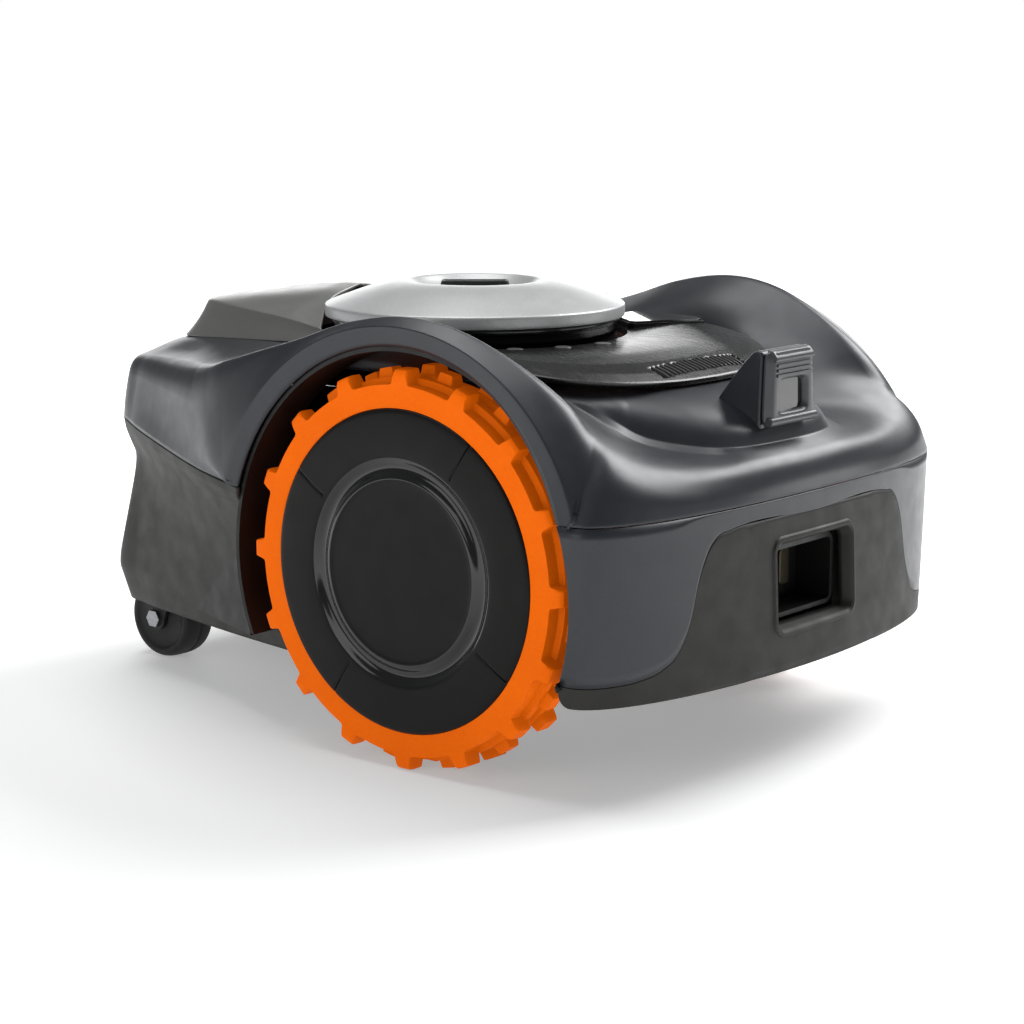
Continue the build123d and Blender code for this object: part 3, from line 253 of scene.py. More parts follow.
def smokedGlass(name, colour):
    # dark window: clear enough to show the lens, with a faint smear
    material, tree, shader = newFinish(name, coat=0.4, coatRoughness=0.02)
    setInputs(shader, {"Transmission Weight": 0.75, "IOR": 1.49})
    tree.links.new(ramp(tree, noise(tree, 30.0), [(0.3, shade(colour, 0.85)), (0.7, shade(colour, 1.1))]),
                   shader.inputs["Base Color"])
    tree.links.new(spread(tree, noise(tree, 120.0, 5.0), 0.02, 0.08), shader.inputs["Roughness"])
    return material


shellPaint = satinPaint("shellPaint", (0.027, 0.031, 0.037), metallic=0.3)
coverPaint = satinPaint("coverPaint", (0.19, 0.188, 0.18), rough=(0.3, 0.38))
dialPaint = satinPaint("dialPaint", (0.54, 0.55, 0.545), metallic=0.3, rough=(0.34, 0.4))
podPaint = satinPaint("podPaint", (0.058, 0.062, 0.068), metallic=0.2, rough=(0.34, 0.42))
insertPlastic = mouldedPlastic("insertPlastic", (0.0135, 0.0125, 0.0105))
skirtPlastic = mouldedPlastic("skirtPlastic", (0.022, 0.0205, 0.0178))
linerPlastic = mouldedPlastic("linerPlastic", (0.004, 0.004, 0.004), rough=(0.42, 0.55))
chassisPlastic = mouldedPlastic("chassisPlastic", (0.012, 0.012, 0.013))
ventPlastic = mouldedPlastic("ventPlastic", (0.02, 0.02, 0.019), rough=(0.3, 0.4))
gripPlastic = mouldedPlastic("gripPlastic", (0.012, 0.012, 0.012), rough=(0.38, 0.5))
hubPlastic = mouldedPlastic("hubPlastic", (0.0038, 0.0034, 0.0031), rough=(0.38, 0.46), depth=0.05,
                            specular=0.2)
casterRubber = mouldedPlastic("casterRubber", (0.010, 0.010, 0.010), rough=(0.55, 0.7), grain=800.0)
keyPlastic = mouldedPlastic("keyPlastic", (0.06, 0.06, 0.064), rough=(0.4, 0.5))
batteryWrap = mouldedPlastic("batteryWrap", (0.02, 0.05, 0.13), rough=(0.3, 0.42))
antennaCeramic = mouldedPlastic("antennaCeramic", (0.62, 0.61, 0.58), rough=(0.4, 0.55))
boardMask = mouldedPlastic("boardMask", (0.008, 0.07, 0.025), rough=(0.25, 0.4), grain=500.0)
panelGloss = glossPlastic("panelGloss", (0.0035, 0.0034, 0.0031), rough=(0.24, 0.3), coat=0.0)
drumGloss = glossPlastic("drumGloss", (0.002, 0.002, 0.002), rough=(0.12, 0.18), coat=0.1)
hubGloss = glossPlastic("hubGloss", (0.003, 0.003, 0.003), rough=(0.1, 0.16), coat=0.3)
displayGloss = glossPlastic("displayGloss", (0.02, 0.021, 0.024), rough=(0.02, 0.05), coat=0.8)
stopGloss = glossPlastic("stopGloss", (0.62, 0.03, 0.012), rough=(0.16, 0.24))
tyreOrange = tyreRubber("tyreOrange", (1.0, 0.155, 0.002))
steel = brushedMetal("steel", (0.55, 0.56, 0.57))
motorSteel = brushedMetal("motorSteel", (0.33, 0.34, 0.35), stretch=(30.0, 1.0, 1.0))
# brass darkened almost to black: painted shade of the deep charging port
contactBrassPaintedShade = brushedMetal("contactBrassPaintedShade", (0.1, 0.085, 0.06), rough=(0.4, 0.55), stretch=(1.0, 20.0, 1.0))
bearingBronze = brushedMetal("bearingBronze", (0.5, 0.3, 0.13), rough=(0.35, 0.5))
lensGlass = smokedGlass("lensGlass", (0.012, 0.012, 0.013))

nodeFinishes = {
    chassisPlastic: ["chassis_tub", "lift_bridge", "deck_carriage", "blade_disc", "left_caster_fork",
                     "right_caster_fork", "battery_cover", "skid_plate", "display_module"],
    linerPlastic: ["arch_liners", "camera_module", "left_rim", "right_rim", "charge_socket"],
    steel: ["bumper_guides", "lift_screw", "lift_rods", "cover_screws", "blade_spindle", "blade_pivots",
            "blade_1", "blade_2", "blade_3", "left_axle", "right_axle"],
    motorSteel: ["blade_motor", "left_drive_motor", "right_drive_motor", "left_caster_axle",
                 "right_caster_axle"],
    bearingBronze: ["axle_bearings"],
    contactBrassPaintedShade: ["charge_contacts"],
    batteryWrap: ["battery_pack"],
    boardMask: ["control_board"],
    antennaCeramic: ["antenna_module"],
    keyPlastic: ["start_key", "home_key", "mow_key"],
    lensGlass: ["camera_window"],
}


def finishNodes():
    for material, names in nodeFinishes.items():
        for name in names:
            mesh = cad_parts[name].data
            mesh.materials.clear()
            mesh.materials.append(material)


finishNodes()
print("materials made:", len(bpy.data.materials))


# Surfaces from numpy arrays, worked out in millimetres

def through(keys, values, at):
    # cubic curve through values at their keys; each slope is the mean of the two spans' slopes,
    # weighted by the other span
    keys, values, at = np.asarray(keys, float), np.asarray(values, float), np.asarray(at, float)
    span = np.diff(keys)[:, None]
    rise = np.diff(values, axis=0) / span
    inner = (rise[:-1] * span[1:] + rise[1:] * span[:-1]) / (span[1:] + span[:-1])
    slope = np.vstack([rise[:1], inner, rise[-1:]])
    k = np.clip(np.searchsorted(keys, at, side="right") - 1, 0, len(keys) - 2)
    wide = span[k]
    t = (at - keys[k])[:, None] / wide
    start = (1 + 2 * t) * (1 - t) ** 2 * values[k] + t * (1 - t) ** 2 * wide * slope[k]
    return start + t * t * (3 - 2 * t) * values[k + 1] - t * t * (1 - t) * wide * slope[k + 1]


def lineThrough(points, at, mirrorStart=False, mirrorEnd=False):
    # points are (key, x, y, z); a mirrored end meets the middle plane squarely
    points = np.array(points, float)
    if mirrorStart:
        ghost = points[1] * (1, -1, 1, 1)
        ghost[0] = 2 * points[0, 0] - points[1, 0]
        points = np.vstack([ghost, points])
    if mirrorEnd:
        ghost = points[-2] * (1, -1, 1, 1)
        ghost[0] = 2 * points[-1, 0] - points[-2, 0]
        points = np.vstack([points, ghost])
    return through(points[:, 0], points[:, 1:], at)


def alongPath(path, shares):
    # places at these shares of a path's length
    step = np.linalg.norm(np.diff(path, axis=0), axis=1)
    length = np.concatenate([[0.0], np.cumsum(step)])
    columns = [np.interp(shares * length[-1], length, path[:, k]) for k in range(path.shape[1])]
    return np.stack(columns, axis=1)


def roundedRows(lines, share, arcSteps=6, spanSteps=3):
    # straight spans from line to line, each inner corner a quadratic arc that starts share/2 of a span away
    lines = np.asarray(lines, float)
    share = np.asarray(share, float)
    if share.ndim == 1:
        share = np.repeat(share[:, None], lines.shape[1], axis=1)
    before = lines[1:-1] + (lines[:-2] - lines[1:-1]) * share[:, :, None] / 2
    after = lines[1:-1] + (lines[2:] - lines[1:-1]) * share[:, :, None] / 2
    starts = np.concatenate([lines[:1], after])
    ends = np.concatenate([before, lines[-1:]])
    rows = []
    for k in range(len(lines) - 1):
        for t in np.linspace(0, 1, spanSteps + 2):
            rows.append(starts[k] * (1 - t) + ends[k] * t)
        if k < len(lines) - 2:
            for t in np.linspace(0, 1, arcSteps + 1)[1:-1]:
                rows.append((1 - t) ** 2 * before[k] + 2 * t * (1 - t) * lines[k + 1] + t * t * after[k])
    return np.array(rows)


def bothSides(grid, joinAtEnd=False):
    # the +X half and its mirror image as one grid, joined on the middle plane at the first or last column
    other = grid[:, ::-1] * (-1, 1, 1)
    if joinAtEnd:
        return np.concatenate([grid, other[:, 1:]], axis=1)
    return np.concatenate([other[:, :-1], grid], axis=1)


def gridFaces(rows, cols, closedRows=False, closedCols=False, start=0):
    # quads of a grid whose normal is (along a row) x (up the rows)
    r = np.arange(rows if closedRows else rows - 1)[:, None]
    c = np.arange(cols if closedCols else cols - 1)[None, :]
    up, on = (r + 1) % rows, (c + 1) % cols
    quads = np.stack([r * cols + c, r * cols + on, up * cols + on, up * cols + c], axis=-1)
    return quads.reshape(-1, 4) + start


def piece(name, points, faces, material, body, replaced=(), sharp=30.0, weld=1e-6, flip=False):
    # a mesh object in metres, its doubles merged, smooth but for edges sharper than the angle
    points = np.asarray(points, float).reshape(-1, 3) * mm
    mesh = bpy.data.meshes.new(name)
    mesh.from_pydata(points.tolist(), [], [list(map(int, face)) for face in faces])
    work = bmesh.new()
    work.from_mesh(mesh)
    bmesh.ops.remove_doubles(work, verts=work.verts, dist=weld)
    bmesh.ops.dissolve_degenerate(work, edges=work.edges, dist=weld)
    if flip:
        bmesh.ops.reverse_faces(work, faces=work.faces)
    work.to_mesh(mesh)
    work.free()
    mesh.polygons.foreach_set("use_smooth", np.ones(len(mesh.polygons), bool))
    mesh.set_sharp_from_angle(angle=math.radians(sharp))
    obj = bpy.data.objects.new(name, mesh)
    scene.collection.objects.link(obj)
    obj.data.materials.append(material)
    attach(obj, body)
    if replaced:
        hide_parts(*replaced)
    return obj


def wallThickness(obj, thickness):
    # a shell's wall grows inwards from its outer skin
    solid = obj.modifiers.new("wall", "SOLIDIFY")
    solid.thickness = thickness * mm
    solid.offset = -1.0


def roundEdges(obj, width, segments=2, angle=40.0):
    edge = obj.modifiers.new("edge", "BEVEL")
    edge.width = width * mm
    edge.segments = segments
    edge.limit_method = "ANGLE"
    edge.angle_limit = math.radians(angle)


def lathe(profile, centre, axis, angles):
    # profile is (radius, height) rows, turned about an axis through the centre: "z" up or "x" across
    profile = np.asarray(profile, float)
    radius, height = profile[:, 0][:, None], profile[:, 1][:, None]
    if axis == "z":
        grid = np.stack([radius * np.cos(angles), radius * np.sin(angles), height + 0 * angles], axis=-1)
    else:
        grid = np.stack([height + 0 * angles, radius * np.cos(angles), radius * np.sin(angles)], axis=-1)
    return grid + np.asarray(centre, float)


def turnAngles(count):
    return np.arange(count) * 2 * np.pi / count


def closedTube(rows, count):
    # the faces of stacked rings of count points, with a flat end at the first and the last ring
    faces = gridFaces(rows, count, closedCols=True).tolist()
    faces.append(list(range(count))[::-1])
    faces.append(list(range((rows - 1) * count, rows * count)))
    return faces


def prism(outline, low, high, axis="x"):
    # a closed outline carried from low to high along an axis, with flat ends
    outline = np.asarray(outline, float)
    count = len(outline)
    ends = []
    for place in (low, high):
        flat = np.full(count, float(place))
        if axis == "x":
            ends.append(np.stack([flat, outline[:, 0], outline[:, 1]], axis=1))
        elif axis == "y":
            ends.append(np.stack([outline[:, 0], flat, outline[:, 1]], axis=1))
        else:
            ends.append(np.stack([outline[:, 0], outline[:, 1], flat], axis=1))
    return np.concatenate(ends), closedTube(2, count)


# Upper shell: nose, sunken deck, fenders and tail as one skin over lines that run from the
# front centre (0) past the arch (5 to 9) to the rear centre (14)

shell = {
    "seamZ": 171.0, "seamHalf": 193.3, "seamCentreY": -224.4, "seamDepth": 42.7, "seamPower": 2.35,
    "archY": -83.0, "archZ": 122.0, "archRadius": 140.5, "creaseRadius": 153.0,
    "wall": 2.4, "columns": 34,       # columns between two stations
    "creaseRise": 0.8, "frontCrease": (0, 0.15, 2.0),     # the crease over the lip, at the arch and in front
    "blendFrom": 4.5, "blendTo": 5.0,                     # where the front crease runs into the arch's
    "lipWidth": [(5, 193.2), (5.4, 190), (6, 185), (7, 181), (8, 182), (9, 183.8)],
    "creaseWidth": [(5, 192.8), (5.4, 190.5), (6, 187), (7, 184.5), (8, 184.8), (9, 184.4)],
    "tailSeam": [(9, 183.8, 51.7, 162.5), (10, 171, 100, 167.5), (11, 147, 160, 174), (12, 117, 222, 180),
                 (12.6, 99, 248, 182.3), (13, 76, 261, 183.2), (13.5, 40, 269.5, 183.8),
                 (14, 0, 272.2, 184)],
    "tailCrease": [(9, 184.4, 64.4, 163.6), (9.5, 179, 84, 177), (10, 168.5, 106, 184), (11, 142, 163, 192),
                   (12, 113, 222, 197), (12.6, 97, 248, 198), (13, 74, 259.5, 198), (13.5, 39, 266.5, 198),
                   (14, 0, 268.8, 198)],
    "crest": [(0, 0, -267.4, 181), (1, 43, -266.2, 181), (2, 87, -262.2, 181.6), (3, 130, -256.6, 183.4),
              (3.5, 149.5, -251.6, 187.5), (4, 163.5, -244.6, 194.5), (4.5, 169.5, -235.5, 203.5),
              (5, 168.5, -223.5, 214.5), (5.5, 164.5, -200, 238), (6, 167, -165, 258.5),
              (6.5, 172, -125, 275.5), (7, 175, -84, 281), (7.5, 176, -40, 275), (8, 177, 0, 262.5),
              (8.5, 177.5, 38, 251.5), (9, 176, 72, 241.5), (9.5, 169.5, 94, 235.8),
              (10, 160.5, 117, 232.2), (11, 136, 167, 228.5), (12, 109, 219, 225), (12.6, 93, 245, 222),
              (13, 70, 254.5, 220.5), (13.5, 38, 260, 219.5), (14, 0, 262, 219.3)],
    "brow": [(0, 0, -263, 192), (1, 43, -261.6, 192.3), (2, 84, -256.4, 193), (3, 119, -245.4, 197.8),
             (4, 138, -229, 206.8), (4.5, 142.5, -217, 214.5), (5, 144.5, -203, 222.5),
             (5.5, 146, -183.5, 234), (6, 148, -150, 250.5), (6.5, 150, -117, 263), (7, 151, -83, 268),
             (7.5, 152, -42, 262.5), (8, 153.5, 0, 252.5), (8.5, 154, 40, 246), (9, 154, 68, 241.5),
             (10, 132, 115, 235), (11, 109, 165, 232), (12, 95, 214, 229.5), (12.6, 82, 237, 227),
             (13, 62, 246, 226), (14, 0, 253, 225.5)],
    "stepFoot": [(0, 0, -253, 197.5), (1, 43, -251, 198), (2, 72, -240, 199), (3, 89.5, -217, 202),
                 (4, 100, -199, 208), (4.6, 105.5, -186, 215.5), (5, 110.5, -169, 223.5),
                 (5.3, 117, -158, 230), (5.6, 125, -146, 237), (6, 132.5, -130, 244),
                 (6.5, 136, -108, 247.5), (7, 137, -83, 248.5), (8, 137.5, 0, 248), (8.6, 137, 40, 245.5),
                 (9, 134, 66, 243), (10, 113, 112, 239), (11, 98, 165, 236), (12, 87, 210, 233.5),
                 (12.6, 73, 230, 232), (13, 54, 239, 231.5), (14, 0, 246, 231)],
    "stepTop": [(0, 0, -247.6, 200.4), (1, 41.3, -245.8, 200.9), (2, 66.5, -235, 202.1),
                (3, 83, -212.8, 205.2), (4, 93.3, -195.8, 211.2), (4.6, 99.5, -184.5, 218.6),
                (5, 106, -168, 227.5), (5.3, 112, -157, 231), (5.6, 120, -146, 234), (6, 129, -130, 238),
                (6.5, 133.5, -108, 240), (7, 134.8, -83, 240.5), (8, 135.3, 0, 240.5), (8.6, 135, 40, 241),
                (9, 131, 64, 242), (10, 106, 112, 240.5), (11, 92, 165, 238.5), (12, 82, 207, 236),
                (12.6, 68, 226, 234.5), (13, 50, 235, 233.5), (14, 0, 241, 233)],
    "deckRoll": [(0, 0, -243, 213.8), (1, 40, -240.5, 213.8), (2, 62, -229, 214.3), (3, 77, -208, 217.5),
                 (4, 88, -192, 221.5), (4.6, 94, -181, 226), (5, 100, -165, 230.3), (5.3, 107, -155, 232),
                 (5.6, 116, -143, 234.5), (6, 126, -127, 237.5), (6.5, 131, -106, 239.3),
                 (7, 132.5, -83, 240), (8, 133, 0, 240), (8.6, 132, 40, 240.5), (9, 126, 62, 242.5),
                 (10, 99, 112, 241.5), (11, 87, 165, 240), (12, 78, 205, 237.5), (12.6, 63, 223, 236),
                 (13, 47, 232, 235), (14, 0, 237, 234.5)],
    "deckMiddle": [(0, 0, -217, 225.8), (1, 37, -215, 225.8), (2, 57, -206, 226.3), (3, 70, -193, 227.5),
                   (4, 80, -182, 229), (4.6, 86, -174, 230.5), (5, 94, -160, 232), (5.6, 111, -138, 235),
                   (6, 123, -122, 237.5), (7, 130, -83, 239.5), (8, 131, 0, 239.5), (9, 119, 58, 242.3),
                   (10, 91, 112, 242.5), (11, 82, 165, 241), (12, 74, 200, 239), (12.6, 58, 218, 237.5),
                   (13, 43, 227, 236.5), (14, 0, 232, 236)],
    "underPanel": [(0, 0, -186, 233), (1, 35, -184, 233), (2, 54, -178, 233), (3, 65, -168, 233.5),
                   (4, 74, -160, 234), (5, 87, -143, 235), (6, 112, -112, 237.5), (7, 118, -83, 238.5),
                   (8, 118, 0, 238.5), (9, 98, 50, 241), (10, 76, 98, 242), (11, 70, 160, 242),
                   (12, 62, 188, 240), (13, 34, 212, 238), (14, 0, 220, 237.5)],
    # how rounded each line is, from 0 sharp to 1 smooth, along the stations
    "creaseRound": [(0, 1.0), (4.6, 1.0), (5, 0.5), (5.4, 0.12), (8.3, 0.16), (9, 0.6), (10, 1.0),
                    (14, 1.0)],
    "crestRound": [(0, 1.0), (5, 1.0), (5.5, 0.75), (6, 0.35), (8.5, 0.32), (9.3, 0.6), (10, 0.95),
                   (14, 0.9)],
    "browRound": [(0, 1.0), (14, 1.0)],
    "footRound": [(0, 0.12), (4.6, 0.14), (5.3, 0.7), (5.8, 1.0), (14, 1.0)],
    "topRound": [(0, 0.16), (4.6, 0.2), (5.3, 0.8), (5.8, 1.0), (14, 1.0)],
    "rollRound": [(0, 1.0), (14, 1.0)],
}


def seamFront(shares, half, depth, centreY, power, endY, z):
    # a superellipse from the front centre round to the side, then straight back to endY
    angle = np.linspace(0, np.pi / 2, 600)
    x = half * np.sin(angle) ** (2 / power)
    y = centreY - depth * np.cos(angle) ** (2 / power)
    path = np.stack([np.append(x, half), np.append(y, max(endY, centreY + 0.01))], axis=1)
    flat = alongPath(path, shares)
    return np.column_stack([flat, np.full(len(flat), float(z))])


def archRing(stations, radius, widths, frontZ, rearZ):
    # an arc about the arch centre, from the front seam height over the top to the rear seam height
    front = np.pi - np.arcsin((frontZ - shell["archZ"]) / radius)
    rear = np.arcsin((rearZ - shell["archZ"]) / radius)
    angle = front + (rear - front) * (stations - 5) / 4
    widths = np.array(widths)
    x = through(widths[:, 0], widths[:, 1:], stations)[:, 0]
    y, z = shell["archY"] + radius * np.cos(angle), shell["archZ"] + radius * np.sin(angle)
    return np.column_stack([x, y, z])


def shellLines(stations):
    front, arch, tail = stations < 5, (stations >= 5) & (stations <= 9), stations > 9
    archFrontY = shell["archY"] - math.sqrt(shell["archRadius"] ** 2 - (shell["seamZ"] - shell["archZ"]) ** 2)
    lip = np.concatenate([
        seamFront(stations[front] / 5, shell["seamHalf"], shell["seamDepth"], shell["seamCentreY"],
                  shell["seamPower"], archFrontY, shell["seamZ"]),
        archRing(stations[arch], shell["archRadius"], shell["lipWidth"], shell["seamZ"],
                 shell["tailSeam"][0][3]),
        lineThrough(shell["tailSeam"], stations[tail], mirrorEnd=True)])
    ring = archRing(stations[arch], shell["creaseRadius"], shell["creaseWidth"],
                    shell["seamZ"] + shell["creaseRise"], shell["tailCrease"][0][3])
    rearCrease = lineThrough(shell["tailCrease"], stations[tail], mirrorEnd=True)
    share = (stations[front] - shell["blendFrom"]) / (shell["blendTo"] - shell["blendFrom"])
    toRing = np.clip(share, 0, 1)[:, None]
    frontCrease = (lip[front] + shell["frontCrease"]) * (1 - toRing) + ring[0] * toRing
    crease = np.concatenate([frontCrease, ring, rearCrease])
    inner = [lineThrough(shell[key], stations, True, True)
             for key in ("crest", "brow", "stepFoot", "stepTop", "deckRoll", "deckMiddle", "underPanel")]
    return np.array([lip, crease, *inner])


def roundness(stations, *keys):
    return np.array([np.interp(stations, *np.array(shell[key]).T) for key in keys])


def makeShell():
    stations = np.linspace(0, 14, 14 * shell["columns"] + 1)
    share = roundness(stations, "creaseRound", "crestRound", "browRound", "footRound", "topRound",
                      "rollRound", "rollRound")
    grid = bothSides(roundedRows(shellLines(stations), share))
    obj = piece("upperShell", grid, gridFaces(*grid.shape[:2]), shellPaint, "chassis",
                ["upper_shell"], sharp=28, weld=2e-5)
    wallThickness(obj, shell["wall"])


makeShell()
print("upper shell made")


# Bumper: one wall from a superellipse whose shape changes with height, split into grey band and dark insert

bumper = {
    "topZ": 170.2, "bottomZ": 63.0, "wall": 2.6, "gap": 0.5,
    "half": (191.6, 193.3), "power": (2.0, 2.35), "centreY": (-222.4, -224.4), "depth": (50.0, 42.7),
    "cornerRadius": 15.0, "wayRound": 236.0,
    "split": [(0, 158), (86, 158), (98, 155.5), (108, 146), (117, 128), (124, 104), (131, 90), (142, 81.5),
              (156, 77.5), (172, 76), (200, 75.5)],
    "portHalf": (42.0, 26.5), "portZ": 115.5, "blockHalf": 72.0,
    "sampleZ": 115.0,                 # the height at which x is matched to a share of the way round
    # rings of the port from its rim inwards: grow, corner radius, depth along +Y
    "portRings": [(8.0, 12.0, 0.0), (5.2, 10.5, -0.1), (4.2, 9.5, -1.3), (2.4, 8.0, -1.5), (1.0, 7.0, -0.6),
                  (0.0, 6.0, 1.6), (-1.6, 5.0, 5.0), (-2.6, 4.4, 7.6)],
}


def bumperWall(shares, heights):
    # shares run round the wall from the front centre to the arch, heights are z; arrays broadcast together
    shares, heights = np.broadcast_arrays(shares, heights)
    levels = np.linspace(bumper["bottomZ"] - 2, bumper["topZ"] + 1, 56)
    samples = np.linspace(0, 1, 401)
    table = []
    for z in levels:
        t = (z - bumper["bottomZ"]) / (bumper["topZ"] - bumper["bottomZ"])
        half, power, centreY, depth = [a + (b - a) * t for a, b in
                                       (bumper["half"], bumper["power"], bumper["centreY"], bumper["depth"])]
        endY = shell["archY"] - math.sqrt(shell["archRadius"] ** 2 - (z - shell["archZ"]) ** 2)
        table.append(seamFront(samples, half, depth, centreY, power, endY, z))
    table = np.array(table)
    row = (heights - levels[0]) / (levels[1] - levels[0])
    low = np.clip(row.astype(int), 0, len(levels) - 2)
    mix = (row - low)[..., None]
    col = np.clip(shares, 0, 1) * (len(samples) - 1)
    left = np.clip(col.astype(int), 0, len(samples) - 2)
    slide = (col - left)[..., None]
    lower = table[low, left] * (1 - slide) + table[low, left + 1] * slide
    upper = table[low + 1, left] * (1 - slide) + table[low + 1, left + 1] * slide
    result = lower * (1 - mix) + upper * mix
    result[..., 2] = heights
    return result


def splitHeight(shares):
    # the insert's top edge, a curve over x, at these shares of the way round
    points = np.array(bumper["split"], float)
    x = bumperWall(shares, np.full(len(shares), bumper["sampleZ"]))[:, 0]
    return through(points[:, 0], points[:, 1:], x)[:, 0]


def bottomHeight(shares):
    # the lower edge, which turns up in a quarter round at the arch
    left = np.clip(1 - (1 - shares) * bumper["wayRound"] / bumper["cornerRadius"], 0, 1)
    return bumper["bottomZ"] + bumper["cornerRadius"] * (1 - np.sqrt(1 - left ** 2))


def roundedBox(halfX, halfZ, radius, direction):
    # where a ray from the middle leaves a rounded rectangle; direction is (cos, sin) rows
    radius = min(radius, halfX, halfZ)
    reach = np.min(np.array([halfX, halfZ]) / np.maximum(np.abs(direction), 1e-9), axis=1)
    point = direction * reach[:, None]
    corner = np.array([halfX - radius, halfZ - radius])
    inCorner = np.all(np.abs(point) > corner, axis=1)
    side = np.sign(direction) * corner
    along = np.sum(direction * side, axis=1)
    rest = np.maximum(along ** 2 - (np.sum(side ** 2, axis=1) - radius ** 2), 0)
    return np.where(inCorner[:, None], direction * (along + np.sqrt(rest))[:, None], point)


def shareAtX(x):
    # the share of the way round at which the bumper's wall reaches this x
    samples = np.linspace(0, 0.6, 600)
    return np.interp(x, bumperWall(samples, np.full(600, bumper["sampleZ"]))[:, 0], samples)


def makeBand():
    shares = np.linspace(0, 1, 260)
    split = splitHeight(shares)
    levels = np.linspace(0, 1, 14)[:, None]
    low, high = split + bumper["gap"] / 2, np.full(len(shares), bumper["topZ"])
    band = bothSides(bumperWall(shares[None, :], low * (1 - levels) + high * levels))
    obj = piece("bumperBand", band, gridFaces(*band.shape[:2]), shellPaint, "bumper",
                ["bumper_band"])
    wallThickness(obj, bumper["wall"])


def makeInsert():
    # the insert's sides, from the block round the port out to the arch
    sideShares = np.linspace(shareAtX(bumper["blockHalf"]), 1, 200)
    levels = np.linspace(0, 1, 41)[:, None]
    low, high = bottomHeight(sideShares), splitHeight(sideShares) - bumper["gap"] / 2
    sideGrid = bumperWall(sideShares[None, :], low * (1 - levels) + high * levels)
    rows, cols = sideGrid.shape[:2]
    mirrored = sideGrid[:, ::-1] * (-1, 1, 1)

    # the block: rings from its square border in to the port's throat
    borderZ = sideGrid[:, 0, 2]
    borderX = np.linspace(-bumper["blockHalf"], bumper["blockHalf"], 57)[1:-1]
    loop = np.concatenate([
        np.column_stack([np.full(rows, bumper["blockHalf"]), borderZ]),
        np.column_stack([borderX[::-1], np.full(len(borderX), borderZ[-1])]),
        np.column_stack([np.full(rows, -bumper["blockHalf"]), borderZ[::-1]]),
        np.column_stack([borderX, np.full(len(borderX), borderZ[0])])])
    middle = np.array([0, bumper["portZ"]])
    reach = loop - middle
    direction = reach / np.linalg.norm(reach, axis=1)[:, None]
    hx, hz = bumper["portHalf"]
    rings = [(loop, 0.0)]
    grow, radius = bumper["portRings"][0][:2]
    outer = middle + roundedBox(hx + grow, hz + grow, radius, direction)
    for t in (0.25, 0.5, 0.75):
        rings.append((loop * (1 - t) + outer * t, 0.0))
    for grow, radius, depth in bumper["portRings"]:
        rings.append((middle + roundedBox(hx + grow, hz + grow, radius, direction), depth))
    block = []
    for flat, depth in rings:
        wallPoints = bumperWall(shareAtX(np.abs(flat[:, 0])), flat[:, 1])
        block.append(np.column_stack([flat[:, 0], wallPoints[:, 1] + depth, flat[:, 1]]))
    block = np.array(block)
    block[0, :rows] = sideGrid[:, 0]
    start = rows + len(borderX)
    block[0, start:start + rows] = sideGrid[::-1, 0] * (-1, 1, 1)
    points = np.concatenate([sideGrid.reshape(-1, 3), mirrored.reshape(-1, 3), block.reshape(-1, 3)])
    faces = np.concatenate([gridFaces(rows, cols), gridFaces(rows, cols, start=rows * cols),
                            gridFaces(*block.shape[:2], closedCols=True, start=2 * rows * cols)])
    obj = piece("bumperInsert", points, faces, insertPlastic, "bumper", ["bumper_insert"],
                sharp=35, weld=1e-5)
    wallThickness(obj, bumper["wall"])


makeBand()
makeInsert()
print("bumper made")


# Rear skirt: stepped in under the seam, flared, and chamfered at the bottom

skirt = {
    "gap": 0.8, "wall": 2.6, "columns": 26,
    "archFade": 1.2,                  # stations over which the front edge leaves the arch's circle
    "shoulder": [(9, 182.6, 55, 156), (10, 169.5, 100.5, 160.5), (11, 145.6, 160, 166),
                 (12, 115.8, 221, 171), (12.6, 98, 247, 172.5), (13, 75, 259.5, 173),
                 (13.5, 39.5, 268, 173.5), (14, 0, 270.5, 173.7)],
    "stepIn": [(9, 174, 56.5, 147), (10, 160.5, 100, 148), (11, 137, 158, 150), (12, 108.5, 217, 152),
               (12.6, 93, 241, 152.5), (13, 71, 253, 152.7), (13.5, 37.5, 261.5, 152.8),
               (14, 0, 263.8, 153)],
    "flare": [(9, 158, 51.7, 82), (10, 147, 99, 80), (11, 132, 161, 78), (12, 116, 222, 77),
              (12.6, 104.5, 252, 76.5), (13, 81, 265, 76.3), (13.5, 43, 271.5, 76), (14, 0, 272.4, 76)],
    "hem": [(9, 151, 38, 50), (10, 140, 97, 50), (11, 126, 160, 50), (12, 110.5, 219, 50),
            (12.6, 99, 246, 50), (13, 76, 258.5, 50), (13.5, 40, 264.5, 50), (14, 0, 266, 50)],
}


def makeSkirt():
    stations = np.linspace(9, 14, 5 * skirt["columns"] + 1)
    top = lineThrough(shell["tailSeam"], stations, mirrorEnd=True) - (0, 0, skirt["gap"])
    lines = [top] + [lineThrough(skirt[key], stations, mirrorEnd=True)
                     for key in ("shoulder", "stepIn", "flare", "hem")]
    grid = roundedRows(lines, [0.6, 0.5, 0.35], spanSteps=5)
    onArch = shell["archY"] + np.sqrt(shell["archRadius"] ** 2 - (grid[:, 0, 2] - shell["archZ"]) ** 2)
    fade = np.clip(1 - (stations - 9) / skirt["archFade"], 0, 1) ** 2
    grid[:, :, 1] += (onArch - grid[:, 0, 1])[:, None] * fade[None, :]
    whole = bothSides(grid, joinAtEnd=True)
    obj = piece("rearSkirt", whole, gridFaces(*whole.shape[:2]), skirtPlastic, "chassis",
                ["rear_skirt"], sharp=26, flip=True)
    wallThickness(obj, skirt["wall"])


makeSkirt()
print("rear skirt made")


# Rear cover: the hump behind the dial

